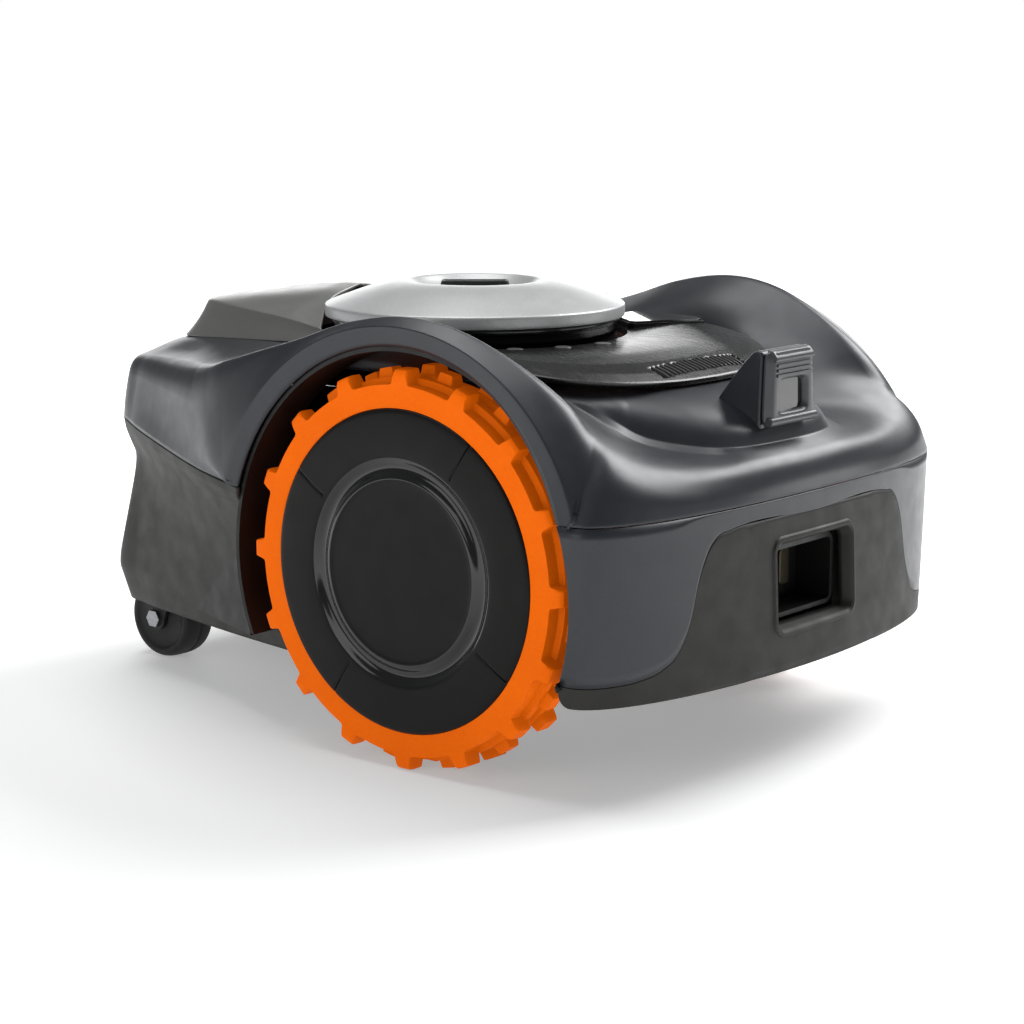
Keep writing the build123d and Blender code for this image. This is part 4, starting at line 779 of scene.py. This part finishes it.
hump = {
    "wall": 2.2, "columns": 22,
    "base": [(0, 82, 71, 244), (1, 83.5, 110, 243), (2, 82.5, 160, 241.5), (3, 77, 200, 239.5),
             (4, 62, 221, 238.3), (5, 34, 230.5, 237.6), (6, 0, 233, 237.2)],
    "foot": [(0, 80.5, 72.5, 246), (1, 81.5, 111, 245.5), (2, 80, 160, 244.5), (3, 74.6, 198, 243),
             (4, 60, 218, 242), (5, 33, 227, 241.5), (6, 0, 229.5, 241.3)],
    "wallMiddle": [(0, 77.5, 75, 249.5), (1, 76, 113, 252), (2, 73.8, 160, 253), (3, 68.8, 194, 252.5),
                   (4, 56.5, 211, 252), (5, 32, 220, 251.6), (6, 0, 222.5, 251.5)],
    "crease": [(0, 76, 77, 253), (1, 72.5, 114, 258), (2, 70, 160, 262), (3, 65.5, 190, 264),
               (4, 54, 205, 264), (5, 31, 214.5, 264), (6, 0, 217.5, 264)],
    "top": [(0, 45, 100, 270), (1, 45, 125, 271.5), (2, 43, 160, 269.7), (3, 38, 184, 267.7),
            (4, 30, 196, 267), (5, 17, 204.5, 266.5), (6, 0, 208, 266.4)],
    "middle": [(0, 0, 110.3, 276.5), (1, 0, 130, 275.6), (2, 0, 160, 272.8), (3, 0, 182, 269.8),
               (4, 0, 192, 268.5), (5, 0, 199, 267.6), (6, 0, 203, 267)],
}


def makeHump():
    stations = np.linspace(0, 6, 6 * hump["columns"] + 1)
    lines = [lineThrough(hump[key], stations, mirrorEnd=True)
             for key in ("base", "foot", "wallMiddle", "crease", "top", "middle")]
    lines[-1][:, 0] = 0
    grid = roundedRows(lines, [0.7, 0.9, 0.22, 0.9], spanSteps=4)
    whole = bothSides(grid, joinAtEnd=True)
    obj = piece("rearCover", whole, gridFaces(*whole.shape[:2]), coverPaint, "chassis",
                ["rear_cover"], sharp=24, weld=2e-5)
    wallThickness(obj, hump["wall"])


makeHump()
print("rear cover made")


# Height dial, on its axis at the middle of the machine

dial = {
    "y": 5.3, "count": 192,
    "cap": [(0, 262.2), (97, 262.2), (98.5, 261.6), (100.8, 261.4), (101.6, 262.2), (101.6, 268.4),
            (101.1, 269.6), (99.8, 270.3), (92, 273.2), (82, 276.8), (72, 280.2), (63, 282.7), (55, 284.2),
            (50, 284.8), (45.5, 285.0), (44.2, 284.9), (43, 284.3), (38, 280.6), (31, 276.8), (22, 274.2),
            (11, 273.0), (0, 272.7)],
    "drum": [(0, 262.0), (96.5, 262.0), (97.6, 261.2), (97.6, 257.8), (96.8, 257.2), (95.8, 256.8),
             (95.4, 252), (94.6, 243.4), (93, 242.6), (0, 242.6)],
    "gripHalf": 23.4, "gripWidth": 8.2, "gripTopZ": 284.4, "gripFootZ": 271.0, "gripTurn": -51.0,
    "gripCorner": 3.2,
}


def refined(profile, rounds=2):
    # cut every inner corner of a profile at a quarter and three quarters of its spans
    profile = np.asarray(profile, float)
    for _ in range(rounds):
        near = profile[:-1] * 0.75 + profile[1:] * 0.25
        far = profile[:-1] * 0.25 + profile[1:] * 0.75
        cut = np.stack([near, far], axis=1).reshape(-1, 2)
        profile = np.vstack([profile[:1], cut[1:-1], profile[-1:]])
    return profile


def gripOutline(half, width, grow):
    # a bar with rounded corners, seen from above
    angle = np.linspace(-np.pi / 2, np.pi / 2, 13)
    reach, radius = half + grow, width + grow
    corner = dial["gripCorner"] + grow
    x = reach - corner + corner * np.cos(angle)
    y = (radius - corner) * np.sign(angle) + corner * np.sin(angle)
    right = np.column_stack([x, y])
    return np.concatenate([right, -right])


def makeDial():
    centre = (0, dial["y"], 0)
    angles = turnAngles(dial["count"])
    cap = lathe(refined(dial["cap"]), centre, "z", angles)
    piece("dialCap", cap, gridFaces(*cap.shape[:2], closedCols=True), dialPaint, "dial",
          ["dial_cap"], sharp=40)
    drum = lathe(refined(dial["drum"], 1)[::-1], centre, "z", angles)
    piece("dialDrum", drum, gridFaces(*drum.shape[:2], closedCols=True), drumGloss, "dial",
          ["dial_drum"], sharp=40)
    # grip: its section narrows to the top, with a shallow thumb groove along it
    angle = math.radians(dial["gripTurn"])
    turn = np.array([(math.cos(angle), math.sin(angle)), (-math.sin(angle), math.cos(angle))])
    rings = []
    for grow, z in ((0.8, dial["gripFootZ"]), (0.4, 276), (0.0, 281), (-0.3, 282.6), (-1.2, dial["gripTopZ"]),
                    (-2.4, dial["gripTopZ"]), (-3.2, dial["gripTopZ"] - 0.8), (-5.5, dial["gripTopZ"] - 1.4)):
        outline = gripOutline(dial["gripHalf"], dial["gripWidth"], grow) @ turn
        rings.append(np.column_stack([outline[:, 0], outline[:, 1] + dial["y"], np.full(len(outline), z)]))
    grid = np.array(rings)
    obj = piece("dialGrip", grid, closedTube(*grid.shape[:2]), gripPlastic, "dial",
                ["dial_grip"], sharp=35)
    roundEdges(obj, 0.3)


makeDial()
print("dial made")


# Drive wheels

wheel = {
    "y": -88.5, "z": 125.0, "lugs": 16, "outerX": 185.0, "innerX": 145.0, "rimRadius": 100.0,
    "lugTip": 124.8, "floor": 115.2, "rib": 119.0,
    "lugHalfTip": 4.6, "lugHalfBase": 7.6, "lugFlare": 10.5,
    # places across: outer lugs end, rib from and to, middle lugs from and to (mirrored for the inner row)
    "outerLugEnd": 171.5, "ribOuter": (174.5, 168.5), "middleLug": (170.5, 159.0),
    "beadRise": 6.0,                  # the sidewall's foot over the rim
    # how far the tread drops at its outer and inner edges: row, mm
    "edgeDrop": ((0, 3.4), (1, 1.6), (2, 0.5), (-1, 3.4), (-2, 1.2)),
}


def smoothStep(low, high, value):
    t = np.clip((value - low) / (high - low), 0, 1)
    return t * t * (3 - 2 * t)


def lugProfile(arc):
    # height share of a lug against the arc length from its middle: flat tip, steep flank, flared foot
    flank = 1 - smoothStep(wheel["lugHalfTip"], wheel["lugHalfBase"], arc)
    flare = 0.28 * (1 - smoothStep(wheel["lugHalfTip"], wheel["lugFlare"], arc)) ** 2
    return np.maximum(flank, flare)


def treadRadius(angles, x):
    # the tread's radius: pocket floor, two ribs, and three rows of lugs, the middle one half a pitch round
    pitch = 2 * np.pi / wheel["lugs"]
    outerArc = np.abs((angles + pitch / 2) % pitch - pitch / 2) * wheel["lugTip"]
    middleArc = np.abs(angles % pitch - pitch / 2) * wheel["lugTip"]
    centre = (wheel["outerX"] + wheel["innerX"]) / 2
    across = centre + np.abs(x - centre)
    inOuter = smoothStep(wheel["outerLugEnd"] - 0.8, wheel["outerLugEnd"] + 0.8, across)
    ribFrom, ribTo = wheel["ribOuter"]
    inRib = smoothStep(ribTo - 1.0, ribTo + 0.2, across)
    inRib = inRib * (1 - smoothStep(ribFrom - 0.2, ribFrom + 1.0, across))
    lugFrom, lugTo = wheel["middleLug"]
    inMiddle = smoothStep(lugTo - 0.8, lugTo + 0.8, across)
    inMiddle = inMiddle * (1 - smoothStep(lugFrom - 0.8, lugFrom + 0.8, across))
    tall = wheel["lugTip"] - wheel["floor"]
    lug = tall * lugProfile(outerArc) * inOuter
    middle = tall * lugProfile(middleArc) * inMiddle
    rib = (wheel["rib"] - wheel["floor"]) * inRib
    return wheel["floor"] + np.maximum(np.maximum(lug, middle), rib)


def makeTyre(side, hand):
    pitch = 2 * np.pi / wheel["lugs"]
    marks = np.array([0, 1.6, 3.4, 4.6, 5.2, 5.8, 6.4, 7.0, 7.6, 8.4, 9.4, 10.5]) / wheel["lugTip"]
    halfPitch = np.concatenate([marks, pitch / 2 - marks[::-1]])
    onePitch = np.concatenate([halfPitch, pitch - halfPitch[1:-1][::-1]])
    angles = (np.arange(wheel["lugs"])[:, None] * pitch + onePitch[None, :]).ravel()
    # places across, close together where a lug or a rib starts
    outerX, innerX, rim = wheel["outerX"], wheel["innerX"], wheel["rimRadius"]
    across = np.array([outerX, 184.2, 183, 179, 175.6, 174.9, 174.3, 173, 172.3, 171.9, 171.5, 171.1, 170.7,
                       169.7, 169, 168.7, 168.3, 167.9, 167.5, 166, 163, 161, 159.8, 159.4, 159, 158.6,
                       158.2, 157.5, 156, 150, 147, 145.8, innerX])
    tread = treadRadius(angles[None, :], across[:, None])
    for row, drop in wheel["edgeDrop"]:
        tread[row] -= drop * (tread[row] - wheel["floor"]) / (wheel["lugTip"] - wheel["floor"])
    share = np.array([0.35, 0.75])[:, None]       # two rings on each sidewall
    outer = tread[0][None, :] * (1 - share) + (rim + wheel["beadRise"]) * share
    inner = tread[-1][None, :] * (1 - share) + (rim + wheel["beadRise"]) * share
    bead = np.array([(rim + 1.2, innerX), (rim + 0.2, 146.0), (rim + 0.2, 165.0), (rim + 0.3, 184.2),
                     (rim + 1.2, outerX)])
    ones = np.ones(len(angles))
    radius = np.concatenate([outer[::-1], tread, inner, bead[:, 0][:, None] * ones])
    x = np.concatenate([[outerX] * 2, across, [innerX] * 2, bead[:, 1]])[:, None] * ones
    grid = np.stack([x, radius * np.cos(angles), radius * np.sin(angles)], axis=-1)
    grid[..., 0] *= hand
    grid += (0, wheel["y"], wheel["z"])
    piece(f"{side}Tyre", grid, gridFaces(*grid.shape[:2], closedRows=True, closedCols=True), tyreOrange,
          f"{side}_wheel", [f"{side}_tyre"], sharp=32, flip=hand > 0)


hub = {
    # radius, x: rolled edge, flat ring, gloss roll, middle disc
    "ring": [(99.6, 178.2), (99.7, 184.0), (99.0, 184.9), (97.5, 185.3), (90, 185.7), (80, 185.9),
             (73.5, 185.6), (71.5, 185.2)],
    "roll": [(71.5, 185.2), (70, 184.3), (67.5, 182.6), (64.5, 181.9), (61.5, 182.7), (59.8, 184.0),
             (58.6, 184.7)],
    "disc": [(58.6, 184.7), (57.4, 184.9), (56.2, 184.5), (54, 184.2), (40, 184.0), (20, 184.2),
             (0, 184.3)],
    "seams": (45.0, 135.0, 225.0, 315.0), "seamFrom": 74.5, "seamHalf": 0.8, "seamDepth": 1.6,
    "turn": -11.5,
    "wall": 1.6, "rimStop": 99.9,     # the seams stop at the rolled edge
}


def makeHub(side, hand):
    fine = np.radians(np.array([-1.3, -0.8, -0.55, -0.3, 0, 0.3, 0.55, 0.8, 1.3]))
    seams = np.radians(np.array(hub["seams"]) + hub["turn"])
    nearSeams = [(seam + fine) % (2 * np.pi) for seam in seams]
    angles = np.unique(np.round(np.concatenate([turnAngles(144), *nearSeams]), 6))
    profile = np.concatenate([refined(hub["ring"]), refined(hub["roll"])[1:], refined(hub["disc"])[1:]])
    radius, x = profile[:, 0][:, None], profile[:, 1][:, None] + 0 * angles
    turned = (angles[None, :] - seams[:, None] + np.pi) % (2 * np.pi) - np.pi
    off = np.min(np.abs(turned), axis=0)[None, :] * radius
    groove = 1 - smoothStep(hub["seamHalf"] * 0.6, hub["seamHalf"] * 1.6, off)
    x = x - hub["seamDepth"] * groove * (radius > hub["seamFrom"]) * (radius < hub["rimStop"])
    grid = np.stack([hand * x, radius * np.cos(angles), radius * np.sin(angles)], axis=-1)
    grid += (0, wheel["y"], wheel["z"])
    obj = piece(f"{side}HubCover", grid, gridFaces(*grid.shape[:2], closedCols=True), hubPlastic,
                f"{side}_wheel", [f"{side}_hub_cover"], sharp=40, flip=hand > 0)
    obj.data.materials.append(hubGloss)
    centres = np.zeros(len(obj.data.polygons) * 3)
    obj.data.polygons.foreach_get("center", centres)
    centres = centres.reshape(-1, 3) / mm - (0, wheel["y"], wheel["z"])
    reach = np.hypot(centres[:, 1], centres[:, 2])
    gloss = (reach > hub["disc"][1][0]) & (reach < hub["roll"][0][0] + 0.3)
    obj.data.polygons.foreach_set("material_index", gloss.astype(np.int32))
    wallThickness(obj, hub["wall"])


for side, hand in sides:
    makeTyre(side, hand)
    makeHub(side, hand)
print("drive wheels made")


# Top panel: a polished dome between the dial and the deck, drawn in polar rows about the dial

panel = {
    "innerRadius": 103.4, "innerZ": 249.6, "endAngle": 22.5, "thickness": 1.2, "throatZ": 241.6,
    "edge": [(0, -193, 236.2), (30, -191.5, 236.4), (55, -186.5, 237), (76, -178.5, 238),
             (93, -168.5, 239.4), (108, -156, 241.4), (120, -140, 244.2), (128, -123, 247),
             (131, -105, 249), (132, -80, 249.6), (132, 61, 249.6)],
    # how far the dome stands over the falling line from the dial to the edge, against the share of the way
    "crown": [(0, 0), (0.15, 1.8), (0.35, 3.6), (0.55, 4.6), (0.75, 4.3), (0.9, 2.6), (1, 0)],
    "ventHalf": 45.5, "ventTop": -172.5, "ventBottom": -185.5, "ventDepth": 2.6,
    "ribs": 20, "ribHalf": 0.85,
}


def panelEdge(angles):
    # radius and height of the outer edge at these angles about the dial
    points = np.array(panel["edge"], float)
    fine = through(np.arange(len(points)), points, np.linspace(0, len(points) - 1, 500))
    reach = fine[:, :2] - (0, dial["y"])
    around = np.arctan2(reach[:, 1], reach[:, 0])
    return np.interp(angles, around, np.hypot(*reach.T)), np.interp(angles, around, fine[:, 2])


def panelHeight(x, y):
    # z = innerZ + (edgeZ - innerZ) share^1.6 + crown(share) clip(-1.5 sin(angle) - 0.2, 0.12, 1)
    angle, reach = np.arctan2(y - dial["y"], np.abs(x)), np.hypot(x, y - dial["y"])
    outer, edgeZ = panelEdge(angle)
    share = np.clip((reach - panel["innerRadius"]) / (outer - panel["innerRadius"]), 0, 1)
    crown = np.array(panel["crown"], float)
    rise = np.interp(share, crown[:, 0], crown[:, 1]) * np.clip(-np.sin(angle) * 1.5 - 0.2, 0.12, 1)
    return panel["innerZ"] + (edgeZ - panel["innerZ"]) * share ** 1.6 + rise


def ventMask(x, y):
    across = 1 - smoothStep(panel["ventHalf"] - 0.6, panel["ventHalf"] + 0.6, np.abs(x))
    along = smoothStep(panel["ventBottom"] - 0.5, panel["ventBottom"] + 0.5, y)
    return across * along * (1 - smoothStep(panel["ventTop"] - 0.5, panel["ventTop"] + 0.5, y))


def makePanel():
    angles = np.radians(np.concatenate([np.arange(-90, -74, 0.3), np.arange(-74, panel["endAngle"], 1.0),
                                        [panel["endAngle"]]]))
    outer = panelEdge(angles)[0]
    shares = np.concatenate([np.linspace(0, 0.7, 16)[:-1], np.linspace(0.7, 0.98, 32), [0.992, 1.0]])[:, None]
    reach = panel["innerRadius"] + (outer - panel["innerRadius"]) * shares
    x, y = reach * np.cos(angles), dial["y"] + reach * np.sin(angles)
    z = panelHeight(x, y) - panel["ventDepth"] * ventMask(x, y)
    top = np.stack([x, y, z], axis=-1)
    inwards = np.stack([np.cos(angles), np.sin(angles), 0 * angles], axis=-1)
    rim = [top[-1] + inwards * 0.7 - (0, 0, 0.7), top[-1] + inwards * 0.8 - (0, 0, 3.5)]
    throat = [top[0] * (0.87, 0.87, 0) + (0, dial["y"] * 0.13, panel["throatZ"]),
              top[0] * (0.965, 0.965, 0) + (0, dial["y"] * 0.035, panel["throatZ"]), top[0] - (0, 0, 4.0)]
    grid = bothSides(np.concatenate([throat, top, rim]))
    obj = piece("topPanel", grid, gridFaces(*grid.shape[:2]), panelGloss, "chassis",
                ["top_panel"], sharp=35, flip=True)
    wallThickness(obj, panel["thickness"])


def makeVent():
    # ribs across the pocket, their tops on the dome; each is a rounded bar of five points across
    across = np.array([-1.0, -0.8, 0.0, 0.8, 1.0]) * panel["ribHalf"]
    drop = np.array([1.0, 0.12, 0.0, 0.12, 1.0])
    along = np.linspace(panel["ventTop"] + 0.4, panel["ventBottom"] - 0.4, 12)
    ribs, faces = [], []
    pitch = 2 * panel["ventHalf"] / panel["ribs"]
    for k in range(panel["ribs"] - 1):
        x = (k - panel["ribs"] / 2 + 1) * pitch + across[None, :] + 0 * along[:, None]
        y = along[:, None] + 0 * x
        z = panelHeight(x, y) + 0.15 - (panel["ventDepth"] + 0.6) * drop[None, :]
        faces.append(gridFaces(len(along), len(across), start=len(ribs) * x.size))
        ribs.append(np.stack([x, y, z], axis=-1).reshape(-1, 3))
    piece("ventGrille", np.concatenate(ribs), np.concatenate(faces), ventPlastic, "chassis",
          ["vent_grille"], sharp=60, flip=True)


makePanel()
makeVent()
print("top panel and vent made")


# Display and stop button, between the dial and the left fender

display = {
    "outer": [(76, -71), (122, -99.5), (134, -86), (133.5, -30), (113, -30)],
    "innerRadius": 105.4, "footZ": 244.0, "frameZ": 253.4, "glassZ": 254.9, "cornerRadius": 4.0, "inset": 1.6,
}
stop = {
    "at": (119.0, -4.0),
    "collar": [(13.7, 248.0), (13.7, 254.6), (14.3, 255.4), (15.4, 255.4), (16.2, 254.6), (16.4, 248.0)],
    "button": [(13.0, 254.3), (13.0, 262.6), (12.9, 264.8), (12.0, 266.7), (10.2, 267.6), (7.0, 267.9),
               (0, 268.0)],
}


def roundedOutline(points, radius, steps=5):
    # a closed outline, each corner a quadratic arc that starts radius away along both sides
    points = np.asarray(points, float)
    result = []
    for k in range(len(points)):
        corner = points[k]
        ends = []
        for other in (points[k - 1], points[(k + 1) % len(points)]):
            gap = np.linalg.norm(other - corner)
            ends.append(corner + (other - corner) * min(radius / gap, 0.45))
        for t in np.linspace(0, 1, steps):
            result.append((1 - t) ** 2 * ends[0] + 2 * t * (1 - t) * corner + t * t * ends[1])
    return np.array(result)


def displayOutline(inset):
    # the edge drawn in by inset from the housing's, its inner side an arc round the dial
    outer = np.array(display["outer"], float)
    reach = display["innerRadius"] + inset
    ends = [math.atan2(p[1] - dial["y"], p[0]) for p in (outer[-1], outer[0])]
    angle = np.linspace(*ends, 12)[1:-1]
    arc = np.column_stack([reach * np.cos(angle), dial["y"] + reach * np.sin(angle)])
    middle = outer.mean(axis=0)
    shrunk = outer + (middle - outer) / np.linalg.norm(middle - outer, axis=1)[:, None] * inset * 1.3
    edge = roundedOutline(np.vstack([shrunk, arc[len(arc) // 2]]), display["cornerRadius"])
    keep = np.hypot(edge[:, 0], edge[:, 1] - dial["y"]) > reach + 0.5
    return np.vstack([edge[keep], arc])


def makeDisplay():
    points, faces = prism(displayOutline(0.0), display["footZ"], display["frameZ"], "z")
    obj = piece("displayHousing", points, faces, gripPlastic, "chassis", ["display_module"],
                sharp=35)
    roundEdges(obj, 0.8, 3)
    points, faces = prism(displayOutline(display["inset"]), display["frameZ"] - 1.0, display["glassZ"], "z")
    obj = piece("displayGlass", points, faces, displayGloss, "chassis", ["display_glass"],
                sharp=35)
    roundEdges(obj, 0.5, 3)


def makeStop():
    centre = (*stop["at"], 0)
    angles = turnAngles(72)
    collar = lathe(refined(stop["collar"], 1), centre, "z", angles)
    piece("stopCollar", collar[::-1], gridFaces(*collar.shape[:2], closedCols=True), panelGloss, "chassis",
          (), sharp=45, flip=True)
    button = lathe(refined(stop["button"], 1), centre, "z", angles)
    bottom = np.repeat(np.array([[[*stop["at"], stop["button"][0][1]]]]), len(angles), axis=1)
    button = np.concatenate([bottom, button])
    piece("stopButton", button, gridFaces(*button.shape[:2], closedCols=True), stopGloss, "stop_button",
          ["stop_button"], sharp=50)


makeDisplay()
makeStop()
print("display and stop button made")


# Camera pod: a wedge on the nose, and its bezel

pod = {
    "half": 27.0, "draft": 0.055, "baseZ": 211.0, "rings": 96,
    "profile": [(-243.6, 206.0), (-243.6, 255.4), (-240.4, 257.4), (-236.0, 256.4), (-228.5, 248.4),
                (-221.0, 239.0), (-212.5, 227.2), (-206.0, 217.0), (-214.0, 206.0)],
    # bezel rings from the back to the window: half width, half height, middle z, y, corner power
    "bezelRings": [(26.8, 22.8, 234.0, -244.6, 9), (27.4, 23.3, 234.0, -245.1, 9),
                   (27.5, 23.4, 234.0, -246.4, 9), (26.8, 23.3, 234.0, -247.0, 9),
                   (23.4, 22.9, 234.0, -249.9, 9), (22.8, 22.6, 233.9, -250.3, 9),
                   (21.8, 22.0, 233.7, -250.5, 9), (18.4, 12.2, 229.2, -250.5, 8),
                   (17.6, 11.4, 229.0, -250.3, 7), (17.1, 10.8, 229.0, -249.7, 7),
                   (15.9, 9.4, 229.0, -246.8, 6), (15.7, 9.2, 229.0, -246.2, 6)],
    "hood": [(-244.6, 257.9), (-248.6, 257.0), (-251.9, 252.9), (-251.7, 250.8), (-249.5, 250.2),
             (-244.6, 250.2)],
    "lip": [(-245.6, 210.8), (-250.6, 210.9), (-252.2, 212.4), (-252.2, 214.8), (-250.9, 216.4),
            (-248.0, 216.6)],
    "hoodHalf": 23.4, "lipHalf": 26.4, "wall": 1.2,
    "bars": (248.2, 245.0, 241.9), "barHalf": (20.6, 0.8), "barY": (-251.6, -249.8),
}


def squircle(halfX, halfZ, centreZ, power, turns):
    # |x / halfX|^power + |z / halfZ|^power = 1 about the middle plane
    cosine, sine = np.cos(turns), np.sin(turns)
    x = halfX * np.sign(cosine) * np.abs(cosine) ** (2 / power)
    z = centreZ + halfZ * np.sign(sine) * np.abs(sine) ** (2 / power)
    return np.column_stack([x, z])


def draftedX(points):
    # each x shrinks with height above the pod's foot
    narrow = 1 - pod["draft"] * (points[:, 2] - pod["baseZ"]) / pod["half"]
    return points * np.column_stack([narrow, np.ones(len(points)), np.ones(len(points))])


def makePod():
    outline = roundedOutline(pod["profile"], 2.2, 4)
    points, faces = prism(outline, -pod["half"], pod["half"], "x")
    obj = piece("podHousing", draftedX(points), faces, shellPaint, "chassis", ["pod_housing"],
                sharp=35)
    roundEdges(obj, 2.4, 4, 50)
    turns = turnAngles(pod["rings"]) + np.pi / pod["rings"]
    rings = []
    for halfX, halfZ, middleZ, y, power in pod["bezelRings"]:
        flat = squircle(halfX, halfZ, middleZ, power, turns)
        rings.append(draftedX(np.column_stack([flat[:, 0], np.full(len(flat), y), flat[:, 1]])))
    grid = np.array(rings)
    obj = piece("podBezel", grid, gridFaces(*grid.shape[:2], closedCols=True), podPaint, "chassis",
                ["pod_bezel"], sharp=40)
    wallThickness(obj, pod["wall"])
    for name, outline, half in (("podHood", pod["hood"], pod["hoodHalf"]),
                                ("podLip", pod["lip"], pod["lipHalf"])):
        points, faces = prism(roundedOutline(outline, 1.0, 3), -half, half, "x")
        obj = piece(name, draftedX(points), faces, podPaint, "chassis", (), sharp=35)
        roundEdges(obj, 0.7, 3)
    halfX, halfZ = pod["barHalf"]
    bars, faces = [], []
    for z in pod["bars"]:
        box = np.array([(-halfX, z - halfZ), (halfX, z - halfZ), (halfX, z + halfZ), (-halfX, z + halfZ)])
        points, sides = prism(roundedOutline(box, 0.7, 4), *pod["barY"], "y")
        faces += [[k + sum(len(bar) for bar in bars) for k in side] for side in sides]
        bars.append(points)
    piece("podLedges", draftedX(np.concatenate(bars)), faces, podPaint, "chassis", (), sharp=35)


makePod()
print("camera pod made")


# Caster wheels

caster = {
    "x": 62.0, "y": 242.5, "z": 30.0, "count": 96,
    "section": [(4.2, -13.6), (9.5, -13.6), (11, -12.6), (21.5, -11.8), (23, -13.0), (24.6, -13.9),
                (27.4, -13.2), (29.0, -11.0), (29.8, -7.5), (30.0, -4.0), (30.0, -1.4), (29.3, -0.9),
                (29.3, 0.9), (30.0, 1.4), (30.0, 4.0), (29.8, 7.5), (29.0, 11.0), (27.4, 13.2),
                (24.6, 13.9), (23, 13.0), (21.5, 11.8), (11, 12.6), (9.5, 13.6), (4.2, 13.6)],
}


def makeCaster(side, hand):
    profile = refined(caster["section"], 1)
    grid = lathe(profile, (hand * caster["x"], caster["y"], caster["z"]), "x", turnAngles(caster["count"]))
    piece(f"{side}CasterWheel", grid, gridFaces(*grid.shape[:2], closedRows=True, closedCols=True),
          casterRubber, f"{side}_caster_wheel", [f"{side}_caster_wheel"], sharp=40, flip=True)


for side, hand in sides:
    makeCaster(side, hand)
print("caster wheels made")


# Floor

def makeFloor():
    half = studio["floorHalf"]
    mesh = bpy.data.meshes.new("floor")
    corners = [(-half, -half, 0), (half, -half, 0), (half, half, 0), (-half, half, 0)]
    mesh.from_pydata(corners, [], [(0, 1, 2, 3)])
    material, tree, shader = newFinish("floorPaper", roughness=0.75, specular=0.2)
    paper = ramp(tree, noise(tree, 3.0), [(0.3, (0.90, 0.90, 0.90)), (0.7, (0.93, 0.93, 0.93))])
    tree.links.new(paper, shader.inputs["Base Color"])
    tree.links.new(paper, shader.inputs["Emission Color"])
    # the floor glows less near the mower than far away: painted shade around the mower
    far = tree.nodes.new("ShaderNodeVectorMath")
    far.operation = "LENGTH"
    tree.links.new(objectCoords(tree), far.inputs[0])
    paintedGlow = spread(tree, far.outputs["Value"], *studio["floorGlowPaintedShadeNear"], studio["glowFrom"], studio["glowTo"])
    tree.links.new(paintedGlow, shader.inputs["Emission Strength"])
    floor = bpy.data.objects.new("floor", mesh)
    floor.data.materials.append(material)
    scene.collection.objects.link(floor)


makeFloor()
